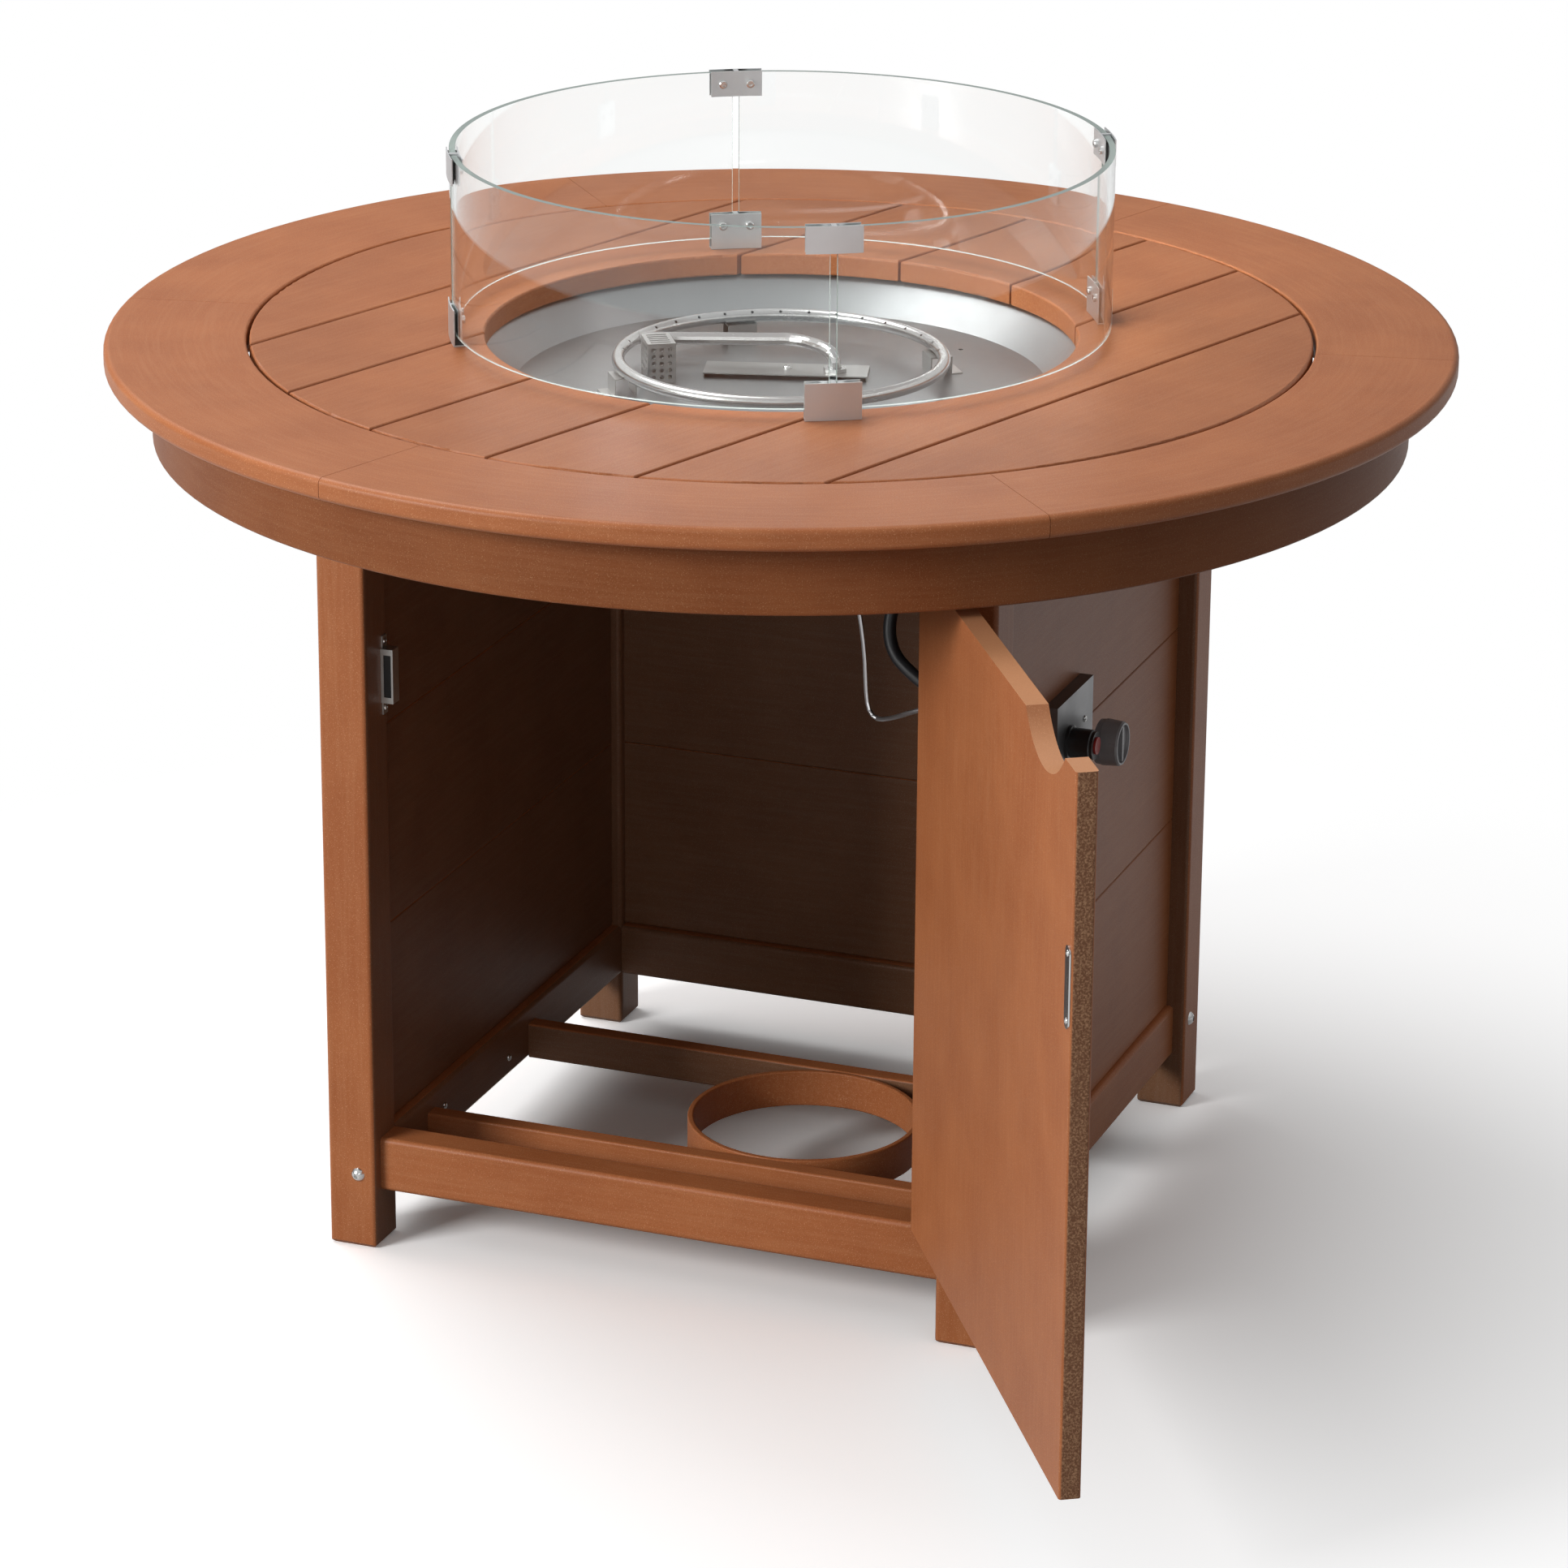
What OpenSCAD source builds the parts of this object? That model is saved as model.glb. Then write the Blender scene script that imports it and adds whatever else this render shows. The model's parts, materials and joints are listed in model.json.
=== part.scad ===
// Round gas fire pit table: slatted top, apron, square cabinet with one hinged door,
// drop-in fire pan with a ring burner, glass wind guard, gas valve and spark igniter.
// Origin: floor centre under the table. Front is -Y, the controls are on the +X side.

/* [Table top] */
// Height of the table surface above the floor
table_h = 890.5; // [840:1:930]
// Diameter of the round top
top_d = 1320; // [1280:5:1400]
// Thickness of the top boards
board_t = 22; // [18:1:26]
// Width of the curved boards of the outer ring
ring_w = 138; // [100:1:150]
// Width of the straight planks inside the ring
plank_w = 139.8; // [130:0.1:146]
// Gap between neighbouring planks, and between planks and ring
board_gap = 3; // [2:0.5:6]
// Angle between the planks and the cabinet's front
plank_turn = 72; // [66:1:78]
// Diameter of the fire opening
fire_hole_d = 580; // [540:2:588]
// Rounding of the rim of the top
rim_r = 6; // [3:0.5:8]
// Rounding of the other board edges
board_r = 2.5; // [1:0.5:4]

/* [Apron] */
// Distance of the apron from the rim of the top
apron_inset = 45; // [35:1:65]
// Height of the apron
apron_h = 72.6; // [50:0.2:90]
// Thickness of the apron
apron_t = 20; // [15:1:24]
// Angle of the apron's first seam
apron_seam_turn = 20; // [0:5:40]

/* [Cabinet] */
// Outer width and depth of the cabinet over its posts
cab_w = 690; // [680:1:720]
// Width of the square posts
post_w = 50.8; // [46:0.2:56]
// Rounding of the posts' long edges
post_r = 5; // [2:0.5:8]
// Height of the lower rails' underside above the floor
rail_z = 59; // [40:1:80]
// Height of the lower rails
rail_h = 56; // [46:1:70]
// Thickness of the rails
rail_t = 38; // [30:1:38]
// Height of the upper rails at the back and at the sides
top_rail_h = 100; // [70:1:120]
// Height of the upper rail over the door
front_rail_h = 59.8; // [50:0.2:80]
// Width of the two lower wall boards
wall_board_h = 208; // [190:1:230]
// Thickness of the wall boards
wall_t = 20; // [15:1:24]
// Height of the battens under the top
batten_t = 20; // [16:1:26]
// Width of the battens under the top
batten_w = 38; // [30:1:42]
// Width of the short cleats under the ring's joints
cleat_w = 44; // [30:1:50]

/* [Tank ring] */
// Bore of the ring that locates the gas cylinder's foot
tank_ring_d = 224; // [214:1:240]
// Wall thickness of the tank ring
tank_ring_t = 6; // [4:0.5:9]
// Height of the tank ring and of the two cross rails
tank_ring_h = 38; // [28:1:50]
// Sideways place of the tank ring
tank_x = 60; // [40:2:80]
// Place of the tank ring from front to back
tank_y = -80; // [-100:2:-60]
// Thickness of the cross rails
cross_t = 20; // [15:1:24]

/* [Door] */
// Thickness of the door panel
door_t = 20; // [16:1:24]
// Gap between the door and the posts
door_gap = 3.2; // [3:0.1:5]
// Opening angle in which the door is drawn
door_open = 122.5; // [90:0.5:140]
// Width of the finger notch in the door's top edge
notch_w = 137; // [100:1:160]
// Depth of the finger notch
notch_depth = 33; // [20:1:45]
// Distance from the door's free edge to the middle of the notch
notch_in = 105; // [90:1:140]
// Length of each hinge
hinge_len = 75; // [60:1:100]
// Height of the lower hinge's middle above the door's bottom edge
hinge_low = 99; // [60:1:160]
// Height of the upper hinge's middle above the door's bottom edge
hinge_high = 527; // [480:1:580]
// Thickness of a hinge leaf
leaf_t = 1.4; // [1:0.1:1.5]
// Diameter of the hinge pin
pin_d = 3; // [2.4:0.1:3.6]
// Radius of the hinge knuckle
knuckle_r = 3.6; // [3.2:0.1:4.2]
// Height of the middle of the catch above the floor
catch_z = 592; // [540:1:640]
// Height of the catch body
catch_h = 55; // [45:1:70]

/* [Fire pan and burner] */
// Depth of the pan's floor below the top boards
pan_depth = 31.5; // [28:0.5:45]
// Radius of the flat floor of the pan
pan_floor_r = 262; // [250:1:268]
// Sheet thickness of the pan
pan_t = 1.5; // [1:0.1:2.5]
// Width of the pan's flange under the boards
pan_flange = 16; // [12:1:18]
// Radius of the burner ring, to the middle of its tube
burner_r = 160; // [150:1:180]
// Outer diameter of the burner tube
burner_tube_d = 12.7; // [11:0.1:15]
// Height of the burner tube's middle above the pan's floor
burner_lift = 24.5; // [22:0.5:30]
// Number of gas ports in the burner ring
port_count = 34; // [16:1:40]
// Diameter of a gas port
port_d = 3; // [2:0.1:4]
// Width of the perforated pilot cage
cage_w = 28; // [24:1:34]
// Length of the pilot cage
cage_l = 40; // [34:1:46]
// Height of the pilot cage
cage_h = 40; // [38:1:44]

/* [Wind guard] */
// Radius of the glass panels, to the middle of the glass
glass_r = 319.6; // [308:0.2:330]
// Thickness of the glass
glass_t = 6; // [4:0.5:8]
// Height of the glass
glass_h = 173; // [120:1:220]
// Height of the glass above the table
glass_lift = 11; // [6:1:20]
// Gap between neighbouring glass panels
glass_gap = 7; // [4:0.5:12]
// Width of the clips round the glass
clip_w = 53; // [45:1:70]
// Height of the lower clips
clip_h = 36; // [28:1:50]
// Height of the upper clips
clip_top_h = 26; // [20:1:40]
// Sheet thickness of the clips
clip_t = 1.2; // [1:0.1:2]
// Angle of the first gap between the glass panels
guard_turn = 29.5; // [20:0.5:40]

/* [Controls] */
// Width of the control box
box_w = 110; // [104:1:120]
// Height of the control box
box_h = 116; // [110:1:130]
// Depth of the control box in front of the wall
box_d = 13.6; // [10:0.2:20]
// Height of the middle of the control box above the floor
box_z = 527; // [500:1:560]
// Place of the middle of the control box from front to back
box_y = -85; // [-110:1:-70]
// Sideways place of the valve in the box
valve_in_box = 30; // [28:1:32]
// Diameter of the valve knob
knob_d = 46; // [40:1:50]
// Length of the valve knob
knob_l = 27; // [20:1:32]
// Diameter of the igniter body
igniter_d = 30; // [26:1:32]
// Length of the igniter in front of the box
igniter_l = 27; // [20:1:32]
// Push travel of the knob and of the igniter button
push_travel = 4; // [2:0.5:5]

/* [Hidden] */
$fn = 48;
round_fn = 180;

// Small clearances
seat = 0.2;          // between fixed pieces that sit against each other
slip = 0.05;         // radial, between a shaft and its hole
bolt_slip = 0.3;     // radial, round a bolt
butt = 0.6;          // between the ends of butted curved boards

// Table top
top_r = top_d / 2;
apron_d = top_d - 2 * apron_inset;
under_z = table_h - board_t;
ring_in_r = top_r - ring_w;
field_r = ring_in_r - board_gap;
hole_r = fire_hole_d / 2;
pitch = plank_w + board_gap;
board_mid = table_h - board_t / 2;
ring_parts = 6;
plank_parts = 7;
cleat_lap = 20;

// Cabinet
cab_r = cab_w / 2;
cab_in = cab_r - post_w;
cab_top = under_z - batten_t;
rail_out = cab_in + rail_t;
span = 2 * (cab_in - seat);
wall_mid = rail_out - 17.3;
post_mid = cab_r - post_w / 2;
rail_mid = rail_out - rail_t / 2;
rail_top = rail_z + rail_h;
wall_r = 2;
rail_r = 5;
foot_chamfer = 4;

// Bolts of the frame
bolt_r = 4;
bolt_head_r = 7.2;
bolt_head_h = 4.4;
bolt_l = post_w + 26;
bolt_step = 9;
socket_r = 2.9;

// Door
door_w = 2 * (cab_in - door_gap);
front_rail_z = cab_top - seat - front_rail_h;
door_z = rail_top + 3;
door_top = front_rail_z - 3;
door_h = door_top - door_z;
door_front = -rail_out;
pin_r = pin_d / 2;
pin_x = cab_in - knuckle_r - seat;
pin_y = door_front - knuckle_r - 0.3;
knuckle_parts = 3;
knuckle_l = hinge_len / knuckle_parts;
leaf_w = 18;
strike_w = 14;
strike_h = 75;
strike_t = 1.6;
catch_w = 12.8;
catch_d = 14;
catch_base_h = 80;
catch_base_t = 1.5;
catch_front = door_front + door_t + strike_t + 0.4;

// Fire pan and burner
pan_floor = under_z - pan_depth;
pan_rim_r = hole_r + 6;
pan_flange_r = pan_rim_r + pan_flange;
batten_mid = pan_flange_r + 2 + batten_w / 2;
pan_slope = atan2(pan_depth - pan_t, pan_rim_r - pan_floor_r);
tube_r = burner_tube_d / 2;
tube_wall = 1;
burner_z = pan_floor + burner_lift;
feed_k = burner_r / 160;
feed_x = 42 * feed_k;
feed_y = 38 * feed_k;
feed_low = 34;
elbow_z = pan_floor - 44.5;
foot_turn = 36;
foot_count = 4;
foot_w = 30;
foot_l = 22;
foot_sheet = 1.2;
bracket_l = 162;
bracket_w = 42;
bracket_up = 5;
bracket_turn = 16;
bracket_x = -5.4;
bracket_y = 29;
cage_x = -117;
cage_y = -32;
cage_turn = 32;
cage_sheet = 1;
cage_hole_r = 2.2;
pan_screw_count = 8;
pan_screw_r = 2;
weep_r = 2.5;
weep_ring_r = 218;
weep_turn = 55;
nut_r = 12;
nut_h = 5;

// Wind guard
glass_z = table_h + glass_lift;
glass_top = glass_z + glass_h;
glass_angle = 90 - 2 * asin(glass_gap / 2 / glass_r);
clip_angle = 2 * asin(clip_w / 2 / glass_r);
web_angle = 2 * asin((glass_gap / 2 - 1) / glass_r);
clip_room = 1.6;
clip_in = glass_r - glass_t / 2 - clip_room - clip_t;
clip_out = glass_r + glass_t / 2 + clip_room + clip_t;
guard_clear = 0.3;
guard_screw_r = 2;
guard_head_r = 4.2;
guard_head_l = 3.6;

// Controls on the +X side
box_x = wall_mid + wall_t / 2;
box_face = box_x + box_d;
box_sheet = 1.2;
box_edge = 6;
valve_y = box_y + valve_in_box;
igniter_y = box_y - 17;
igniter_z = box_z + 12;
valve_screw_step = 21;
valve_bore_r = 6;
stem_r = 3;
stem_hole_r = 9;
knob_gap = 13;
plunger_l = 12;
plunger_back = box_face - 26;
barrel_r = 11;
button_r = 8.6;
button_out = 2;
hose_r = 6.5;
pilot_r = 2.5;
port_x = 268;
port_l = 20;
inlet_r = 6;

// Route of the feed tube over the pan's floor, from below the pan to the ring
feed_route = [
    [42, 38, -34], [42, 38, -18], [42, 38, -4], [42, 38, 9.5], [38.5, 40.5, 19.5],
    [28, 47.5, 24.5], [10, 60, 24.5], [-4, 65.5, 24.5], [-20, 66, 24.5], [-40, 58.5, 24.5],
    [-80, 44, 24.5], [-120, 29, 24.5], [-159, 14.7, 24.5]
];
feed_points = [
    for (p = feed_route) [p[0] * feed_k, p[1] * feed_k, pan_floor + p[2] * burner_lift / 24.5]
];
// Route of the gas hose, from the elbow under the pan to the valve, heights above the valve
hose_route = [
    [74, 32, 261], [84, 30.1, 261], [94, 28.2, 261], [113, 22, 254], [130, 13, 240],
    [142, 3, 218], [147, -8, 190], [145, -18, 160], [138, -27, 130], [131, -35, 103],
    [129, -42, 78], [137, -48, 57], [155, -53, 43], [178, -57, 30], [200, -60, 16],
    [224, -61, 4], [248, -61, 0], [267.8, -61, 0]
];
// Route of the thin pilot tube, from the pilot cage to the valve, heights above the valve
pilot_route = [
    [-112, -30, 318], [-112, -30, 298], [-112, -30, 272], [-106, -29, 250], [-90, -28, 234],
    [-60, -26, 224], [-25, -25, 214], [10, -23, 200], [40, -21, 180], [70, -20, 144],
    [86, -20, 106], [93, -20, 72], [97, -20, 38], [99, -21, 6], [103, -23, -12],
    [113, -28, -18], [130, -40, -12], [152, -56, 0], [178, -70, 14], [205, -77, 25],
    [228, -79, 32], [248, -78, 33], [267.8, -78, 33]
];

// Point i of a route that leads from the height top to the valve, the route's height being drop
function led(route, i, top, drop, start) =
    let (t = i / (len(route) - 1))
    route[i] + [(1 - t) * start[0], (1 - t) * start[1] + t * (valve_y + 61),
        box_z + route[i][2] * ((top - box_z) / drop - 1)];
hose_points = [
    for (i = [0 : len(hose_route) - 1])
        led(hose_route, i, elbow_z, 261, [feed_x - 42, feed_y - 38])
];
pilot_points = [
    for (i = [0 : len(pilot_route) - 1]) led(pilot_route, i, pan_floor + 12.5, 318, [0, 0])
];

// Flat shapes

// Rectangle about the origin with all four corners rounded
module round_rect(w, h, r) {
    square([w - 2 * r, h], center = true);
    square([w, h - 2 * r], center = true);
    for (x = [-1, 1], y = [-1, 1])
        translate([x * (w / 2 - r), y * (h / 2 - r)]) circle(r, $fn = 32);
}

// Right half of a board's cross-section, from x = 0 to w
module half_board(w, h, r) {
    translate([0, -h / 2]) square([w - r, h]);
    translate([0, r - h / 2]) square([w, h - 2 * r]);
    for (s = [-1, 1])
        translate([w - r, s * (h / 2 - r)]) circle(r, $fn = 32);
}

// Board cross-section from x_low to x_high, each side with its own rounding
module board_section(x_low, x_high, h, r_low, r_high) {
    half = (x_high - x_low) / 2;
    translate([x_low + half, 0]) {
        half_board(half, h, r_high);
        mirror([1, 0]) half_board(half, h, r_low);
    }
}

// Solid shapes

// Straight bar along X about the origin, with rounded long edges
module bar_x(l, w, h, r) {
    rotate([90, 0, 90])
        linear_extrude(l, center = true) round_rect(w, h, r);
}

// Cylinder along X that starts at x = 0
module rod_x(l, r) {
    rotate([0, 90, 0]) cylinder(l, r, r);
}

// Ring of rectangular section about the Z axis, from z = 0 up
module band(r_in, r_out, h, angle = 360) {
    rotate_extrude(angle = angle, $fn = round_fn)
        translate([r_in, 0]) square([r_out - r_in, h]);
}

// Hexagonal nut about the Z axis, from z = 0 up
module hex_nut(r, h, hole_r) {
    difference() {
        cylinder(h, r, r, $fn = 6);
        translate([0, 0, -1]) cylinder(h + 2, hole_r, hole_r);
    }
}

// Swept tube

function unit(v) = v / norm(v);
function direction(p, i) = unit(p[min(i + 1, len(p) - 1)] - p[max(i - 1, 0)]);
function blend(a, b, c, d, t) =
    0.5 * (2 * b + (c - a) * t + (2 * a - 5 * b + 4 * c - d) * t * t
        + (3 * b - a - 3 * c + d) * t * t * t);
function smooth(p, steps) = [
    for (i = [0 : len(p) - 2], s = [0 : steps - 1])
        blend(p[max(i - 1, 0)], p[i], p[i + 1], p[min(i + 2, len(p) - 1)], s / steps),
    p[len(p) - 1]
];
function ring_points(c, d, r, sides) =
    let (u = unit(cross(d, [0, 1, 0])), v = cross(d, u))
    [for (k = [0 : sides - 1])
        c + r * (cos(360 * k / sides) * u + sin(360 * k / sides) * v)];

// Round tube of radius r that follows the points
module swept_tube(route, r, sides, steps) {
    path = smooth(route, steps);
    n = len(path);
    points = [for (i = [0 : n - 1]) each ring_points(path[i], direction(path, i), r, sides)];
    first = [for (k = [0 : sides - 1]) k];
    last = [for (k = [sides - 1 : -1 : 0]) (n - 1) * sides + k];
    walls = [
        for (i = [0 : n - 2], k = [0 : sides - 1])
            let (a = i * sides + k, b = i * sides + (k + 1) % sides)
            each [[a, a + sides, b], [b, a + sides, b + sides]]
    ];
    polyhedron(points, concat([first, last], walls));
}

// Table top

module ring_boards() {
    step = 360 / ring_parts;
    butt_angle = 2 * asin(butt / 2 / top_r);
    color("peru")
    for (i = [0 : ring_parts - 1])
        rotate([0, 0, plank_turn + i * step + butt_angle / 2])
            translate([0, 0, board_mid])
                rotate_extrude(angle = step - butt_angle, $fn = round_fn)
                    board_section(ring_in_r, top_r, board_t, board_r, rim_r);
}

// Round field of the straight planks, with the fire opening
module field_disc() {
    translate([0, 0, board_mid])
        rotate_extrude($fn = round_fn)
            board_section(hole_r, field_r, board_t, board_r, board_r);
}

// Places of the screws that hold the pan's flange
module at_pan_screws() {
    step = 360 / pan_screw_count;
    for (i = [0 : pan_screw_count - 1])
        rotate([0, 0, (i + 0.5) * step + plank_turn])
            translate([pan_flange_r - pan_flange / 2, 0, under_z]) children();
}

// Straight plank number i, counted from the left of the planks' direction
module plank(i) {
    k = i - (plank_parts + 1) / 2;
    last = (plank_parts - 1) / 2;
    low = k == -last ? -top_r : (k - 0.5) * pitch + board_gap / 2;
    high = k == last ? top_r : (k + 0.5) * pitch - board_gap / 2;
    color("peru")
    difference() {
        intersection() {
            rotate([0, 0, plank_turn - 90]) translate([0, 0, board_mid]) rotate([90, 0, 0])
                linear_extrude(top_d, center = true)
                    board_section(low, high, board_t, board_r, board_r);
            field_disc();
        }
        at_pan_screws()
            translate([0, 0, -1]) cylinder(13, pan_screw_r + slip, pan_screw_r + slip);
    }
}

module top_battens() {
    long = 2 * sqrt(pow(field_r - cleat_lap - 4, 2) - pow(batten_mid + batten_w / 2, 2));
    short = 2 * (batten_mid - batten_w / 2 - seat);
    color("sienna")
    for (s = [-1, 1]) {
        translate([0, s * batten_mid, under_z - batten_t / 2 - seat / 2])
            cube([long, batten_w, batten_t - seat], center = true);
        translate([s * batten_mid, 0, under_z - batten_t / 2 - seat / 2])
            cube([batten_w, short, batten_t - seat], center = true);
    }
}

module joint_cleats() {
    color("sienna")
    for (i = [0 : ring_parts - 1])
        rotate([0, 0, plank_turn + i * 360 / ring_parts])
            translate([field_r - cleat_lap, -cleat_w / 2, cab_top])
                cube([apron_d / 2 - apron_t - 3 - field_r + cleat_lap, cleat_w, batten_t - seat]);
}

// Quarter round of radius r about a point, in four steps from the angle a
function eased(x, y, r, a) = [
    for (i = [0 : 4]) [x + r * cos(a + 22.5 * i), y + r * sin(a + 22.5 * i)]
];

module apron_half(turn) {
    butt_angle = 2 * asin(butt / apron_d);
    x = apron_t / 2 - board_r;
    y = apron_h / 2 - board_r;
    section = concat(eased(x, y, board_r, 0), eased(-x, y, board_r, 90),
        eased(-x, -y, board_r, 180), eased(x, -y, board_r, 270));
    color("peru")
    rotate([0, 0, turn + butt_angle / 2])
        rotate_extrude(angle = 180 - butt_angle, $fn = round_fn)
            translate([(apron_d - apron_t) / 2, under_z - seat - apron_h / 2]) polygon(section);
}

module apron_front() { apron_half(apron_seam_turn + 180); }
module apron_back() { apron_half(apron_seam_turn); }

// Cabinet

// Post in the quarter given by the signs sx and sy
module post(sx, sy) {
    h = cab_top - seat;
    foot = [
        [-post_w / 2 + foot_chamfer, 0], [post_w / 2 - foot_chamfer, 0],
        [post_w / 2, foot_chamfer], [post_w / 2, h],
        [-post_w / 2, h], [-post_w / 2, foot_chamfer]
    ];
    color("peru")
    difference() {
        translate([sx * post_mid, sy * post_mid, 0]) intersection() {
            linear_extrude(h) round_rect(post_w, post_w, post_r);
            rotate([90, 0, 0]) linear_extrude(post_w + 2, center = true) polygon(foot);
            rotate([90, 0, 90]) linear_extrude(post_w + 2, center = true) polygon(foot);
        }
        at_frame_bolts(sx, sy)
            translate([-1, 0, 0]) rod_x(bolt_l + 2, bolt_r + bolt_slip);
    }
}

module post_front_left() { post(-1, -1); }
module post_front_right() { post(1, -1); }
module post_back_left() { post(-1, 1); }
module post_back_right() { post(1, 1); }

// Heights of the bolts at one post: lower rails and upper rails
function bolt_heights() = [rail_z + rail_h / 2, cab_top - 30];

// Bolt places of one post; +X is the way the bolt points into the wood
module at_frame_bolts(sx, sy) {
    for (z = bolt_heights()) {
        translate([sx * rail_mid, sy * cab_r, z - bolt_step])
            rotate([0, 0, -sy * 90]) children();
        translate([sx * cab_r, sy * rail_mid, z + bolt_step])
            rotate([0, 0, sx > 0 ? 180 : 0]) children();
    }
}

module at_all_frame_bolts() {
    for (sx = [-1, 1], sy = [-1, 1])
        at_frame_bolts(sx, sy) children();
}

// Button-head bolt along X, its head in front of x = 0
module button_bolt() {
    dome_r = (bolt_head_r * bolt_head_r + bolt_head_h * bolt_head_h) / (2 * bolt_head_h);
    rotate([0, 90, 0]) {
        difference() {
            rotate_extrude()
                intersection() {
                    translate([0, dome_r - bolt_head_h]) circle(dome_r, $fn = 64);
                    translate([0, -bolt_head_h]) square([bolt_head_r, bolt_head_h - slip]);
                }
            translate([0, 0, -bolt_head_h - 1]) cylinder(3.4, socket_r, socket_r, $fn = 6);
        }
        translate([0, 0, -slip - 0.5]) cylinder(bolt_l, bolt_r, bolt_r);
    }
}

module frame_bolts() {
    color("silver") at_all_frame_bolts() button_bolt();
}

// Rail between two posts on the side that the turn faces, from z up
module rail(turn, z, h) {
    color("peru")
    difference() {
        rotate([0, 0, turn])
            translate([0, -rail_mid, z + h / 2]) bar_x(span, rail_t, h, rail_r);
        at_all_frame_bolts()
            rod_x(bolt_l + 1, bolt_r + bolt_slip);
    }
}

module rail_front_bottom() { rail(0, rail_z, rail_h); }
module rail_right_bottom() { rail(90, rail_z, rail_h); }
module rail_back_bottom() { rail(180, rail_z, rail_h); }
module rail_left_bottom() { rail(-90, rail_z, rail_h); }

module top_rails() {
    rail(0, front_rail_z, front_rail_h);
    for (turn = [90, 180, 270])
        rail(turn, cab_top - seat - top_rail_h, top_rail_h);
}

// Three wall boards between the lower and the upper rail
module wall(turn) {
    low = rail_top + seat;
    high = cab_top - seat - top_rail_h - seat;
    seams = [low, low + wall_board_h, low + 2 * wall_board_h, high + seat];
    color("peru")
    rotate([0, 0, turn])
        for (i = [0 : 2])
            translate([0, -wall_mid, (seams[i] + seams[i + 1] - seat) / 2])
                bar_x(span, wall_t, seams[i + 1] - seams[i] - seat, wall_r);
}

module wall_left() { wall(-90); }
module wall_back() { wall(180); }
module wall_right() {
    color("peru")
    difference() {
        wall(90);
        translate([wall_mid, box_y, box_z])
            cube([wall_t + 2, box_w - 2 * box_edge, box_h - 2 * box_edge], center = true);
    }
}

// Cross rail on edge between the left and the right lower rail
module cross_rail(y) {
    color("peru")
    translate([0, y, rail_z + tank_ring_h / 2])
        bar_x(2 * (rail_out - rail_t - seat), cross_t, tank_ring_h, board_r);
}

cross_off = tank_ring_d / 2 + tank_ring_t + seat + cross_t / 2;
module cross_rail_front() { cross_rail(tank_y - cross_off); }
module cross_rail_back() { cross_rail(tank_y + cross_off); }

module tank_ring() {
    mid = (tank_ring_d + tank_ring_t) / 2;
    color("peru")
    translate([tank_x, tank_y, rail_z + tank_ring_h / 2])
        rotate_extrude($fn = round_fn)
            translate([mid, 0]) round_rect(tank_ring_t, tank_ring_h, 1.5);
}

// Door, drawn closed and turned about its pins to the open place

module door_place() {
    translate([pin_x, pin_y, 0]) rotate([0, 0, door_open]) translate([-pin_x, -pin_y, 0])
        children();
}

module door_panel() {
    cut_r = (notch_w * notch_w / 4 + notch_depth * notch_depth) / (2 * notch_depth);
    color("peru")
    door_place() difference() {
        translate([0, door_front + door_t / 2, door_z + door_h / 2])
            rotate([0, 0, 90]) bar_z(door_t, door_w, door_h, 3);
        translate([notch_in - door_w / 2, door_front - 1, door_top - notch_depth + cut_r])
            rotate([-90, 0, 0]) cylinder(door_t + 2, cut_r, cut_r, $fn = round_fn);
    }
}

// Upright slab about the origin with rounded upright edges
module bar_z(w, l, h, r) {
    linear_extrude(h, center = true) round_rect(w, l, r);
}

module strike_plate() {
    x = -door_w / 2 + 1.5 + strike_w / 2;
    color("silver")
    door_place()
        translate([x, door_front + door_t + seat, catch_z]) rotate([-90, 0, 0])
            difference() {
                linear_extrude(strike_t - seat) {
                    square([strike_w, strike_h - strike_w], center = true);
                    for (s = [-1, 1])
                        translate([0, s * (strike_h - strike_w) / 2]) circle(strike_w / 2);
                }
                for (s = [-1, 1])
                    translate([0, s * (strike_h - strike_w) / 2, strike_t - 1])
                        cylinder(2, 1.4, 3.4);
            }
}

// Heights of the two hinges' middles
function hinge_heights() = [door_z + hinge_low, door_z + hinge_high];

// Knuckle number i of a hinge whose middle is at z = 0
module knuckle(i) {
    translate([pin_x, pin_y, (i - 1.5) * knuckle_l + slip])
        difference() {
            cylinder(knuckle_l - 2 * slip, knuckle_r, knuckle_r);
            translate([0, 0, -1]) cylinder(knuckle_l + 2, pin_r + slip, pin_r + slip);
        }
}

module hinge_post_leaves() {
    x = cab_in - leaf_t - slip;
    color("silver")
    for (z = hinge_heights()) translate([0, 0, z])
        difference() {
            union() {
                translate([x, pin_y, -hinge_len / 2]) cube([leaf_t, leaf_w + 3, hinge_len]);
                knuckle(0);
                knuckle(2);
            }
            translate([pin_x, pin_y, -knuckle_l / 2])
                cylinder(knuckle_l, knuckle_r + 0.4, knuckle_r + 0.4);
            translate([pin_x, pin_y, -hinge_len])
                cylinder(2 * hinge_len, pin_r + slip, pin_r + slip);
        }
}

module hinge_door_leaves() {
    x = door_w / 2 + slip;
    color("silver")
    door_place()
    for (z = hinge_heights()) translate([0, 0, z])
        difference() {
            union() {
                translate([x, pin_y, -hinge_len / 2]) cube([leaf_t, leaf_w + 3, hinge_len]);
                knuckle(1);
            }
            for (s = [-1, 1]) translate([pin_x, pin_y, s * knuckle_l - knuckle_l / 2])
                cylinder(knuckle_l, knuckle_r + 0.4, knuckle_r + 0.4);
            translate([pin_x, pin_y, -hinge_len])
                cylinder(2 * hinge_len, pin_r + slip, pin_r + slip);
        }
}

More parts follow.
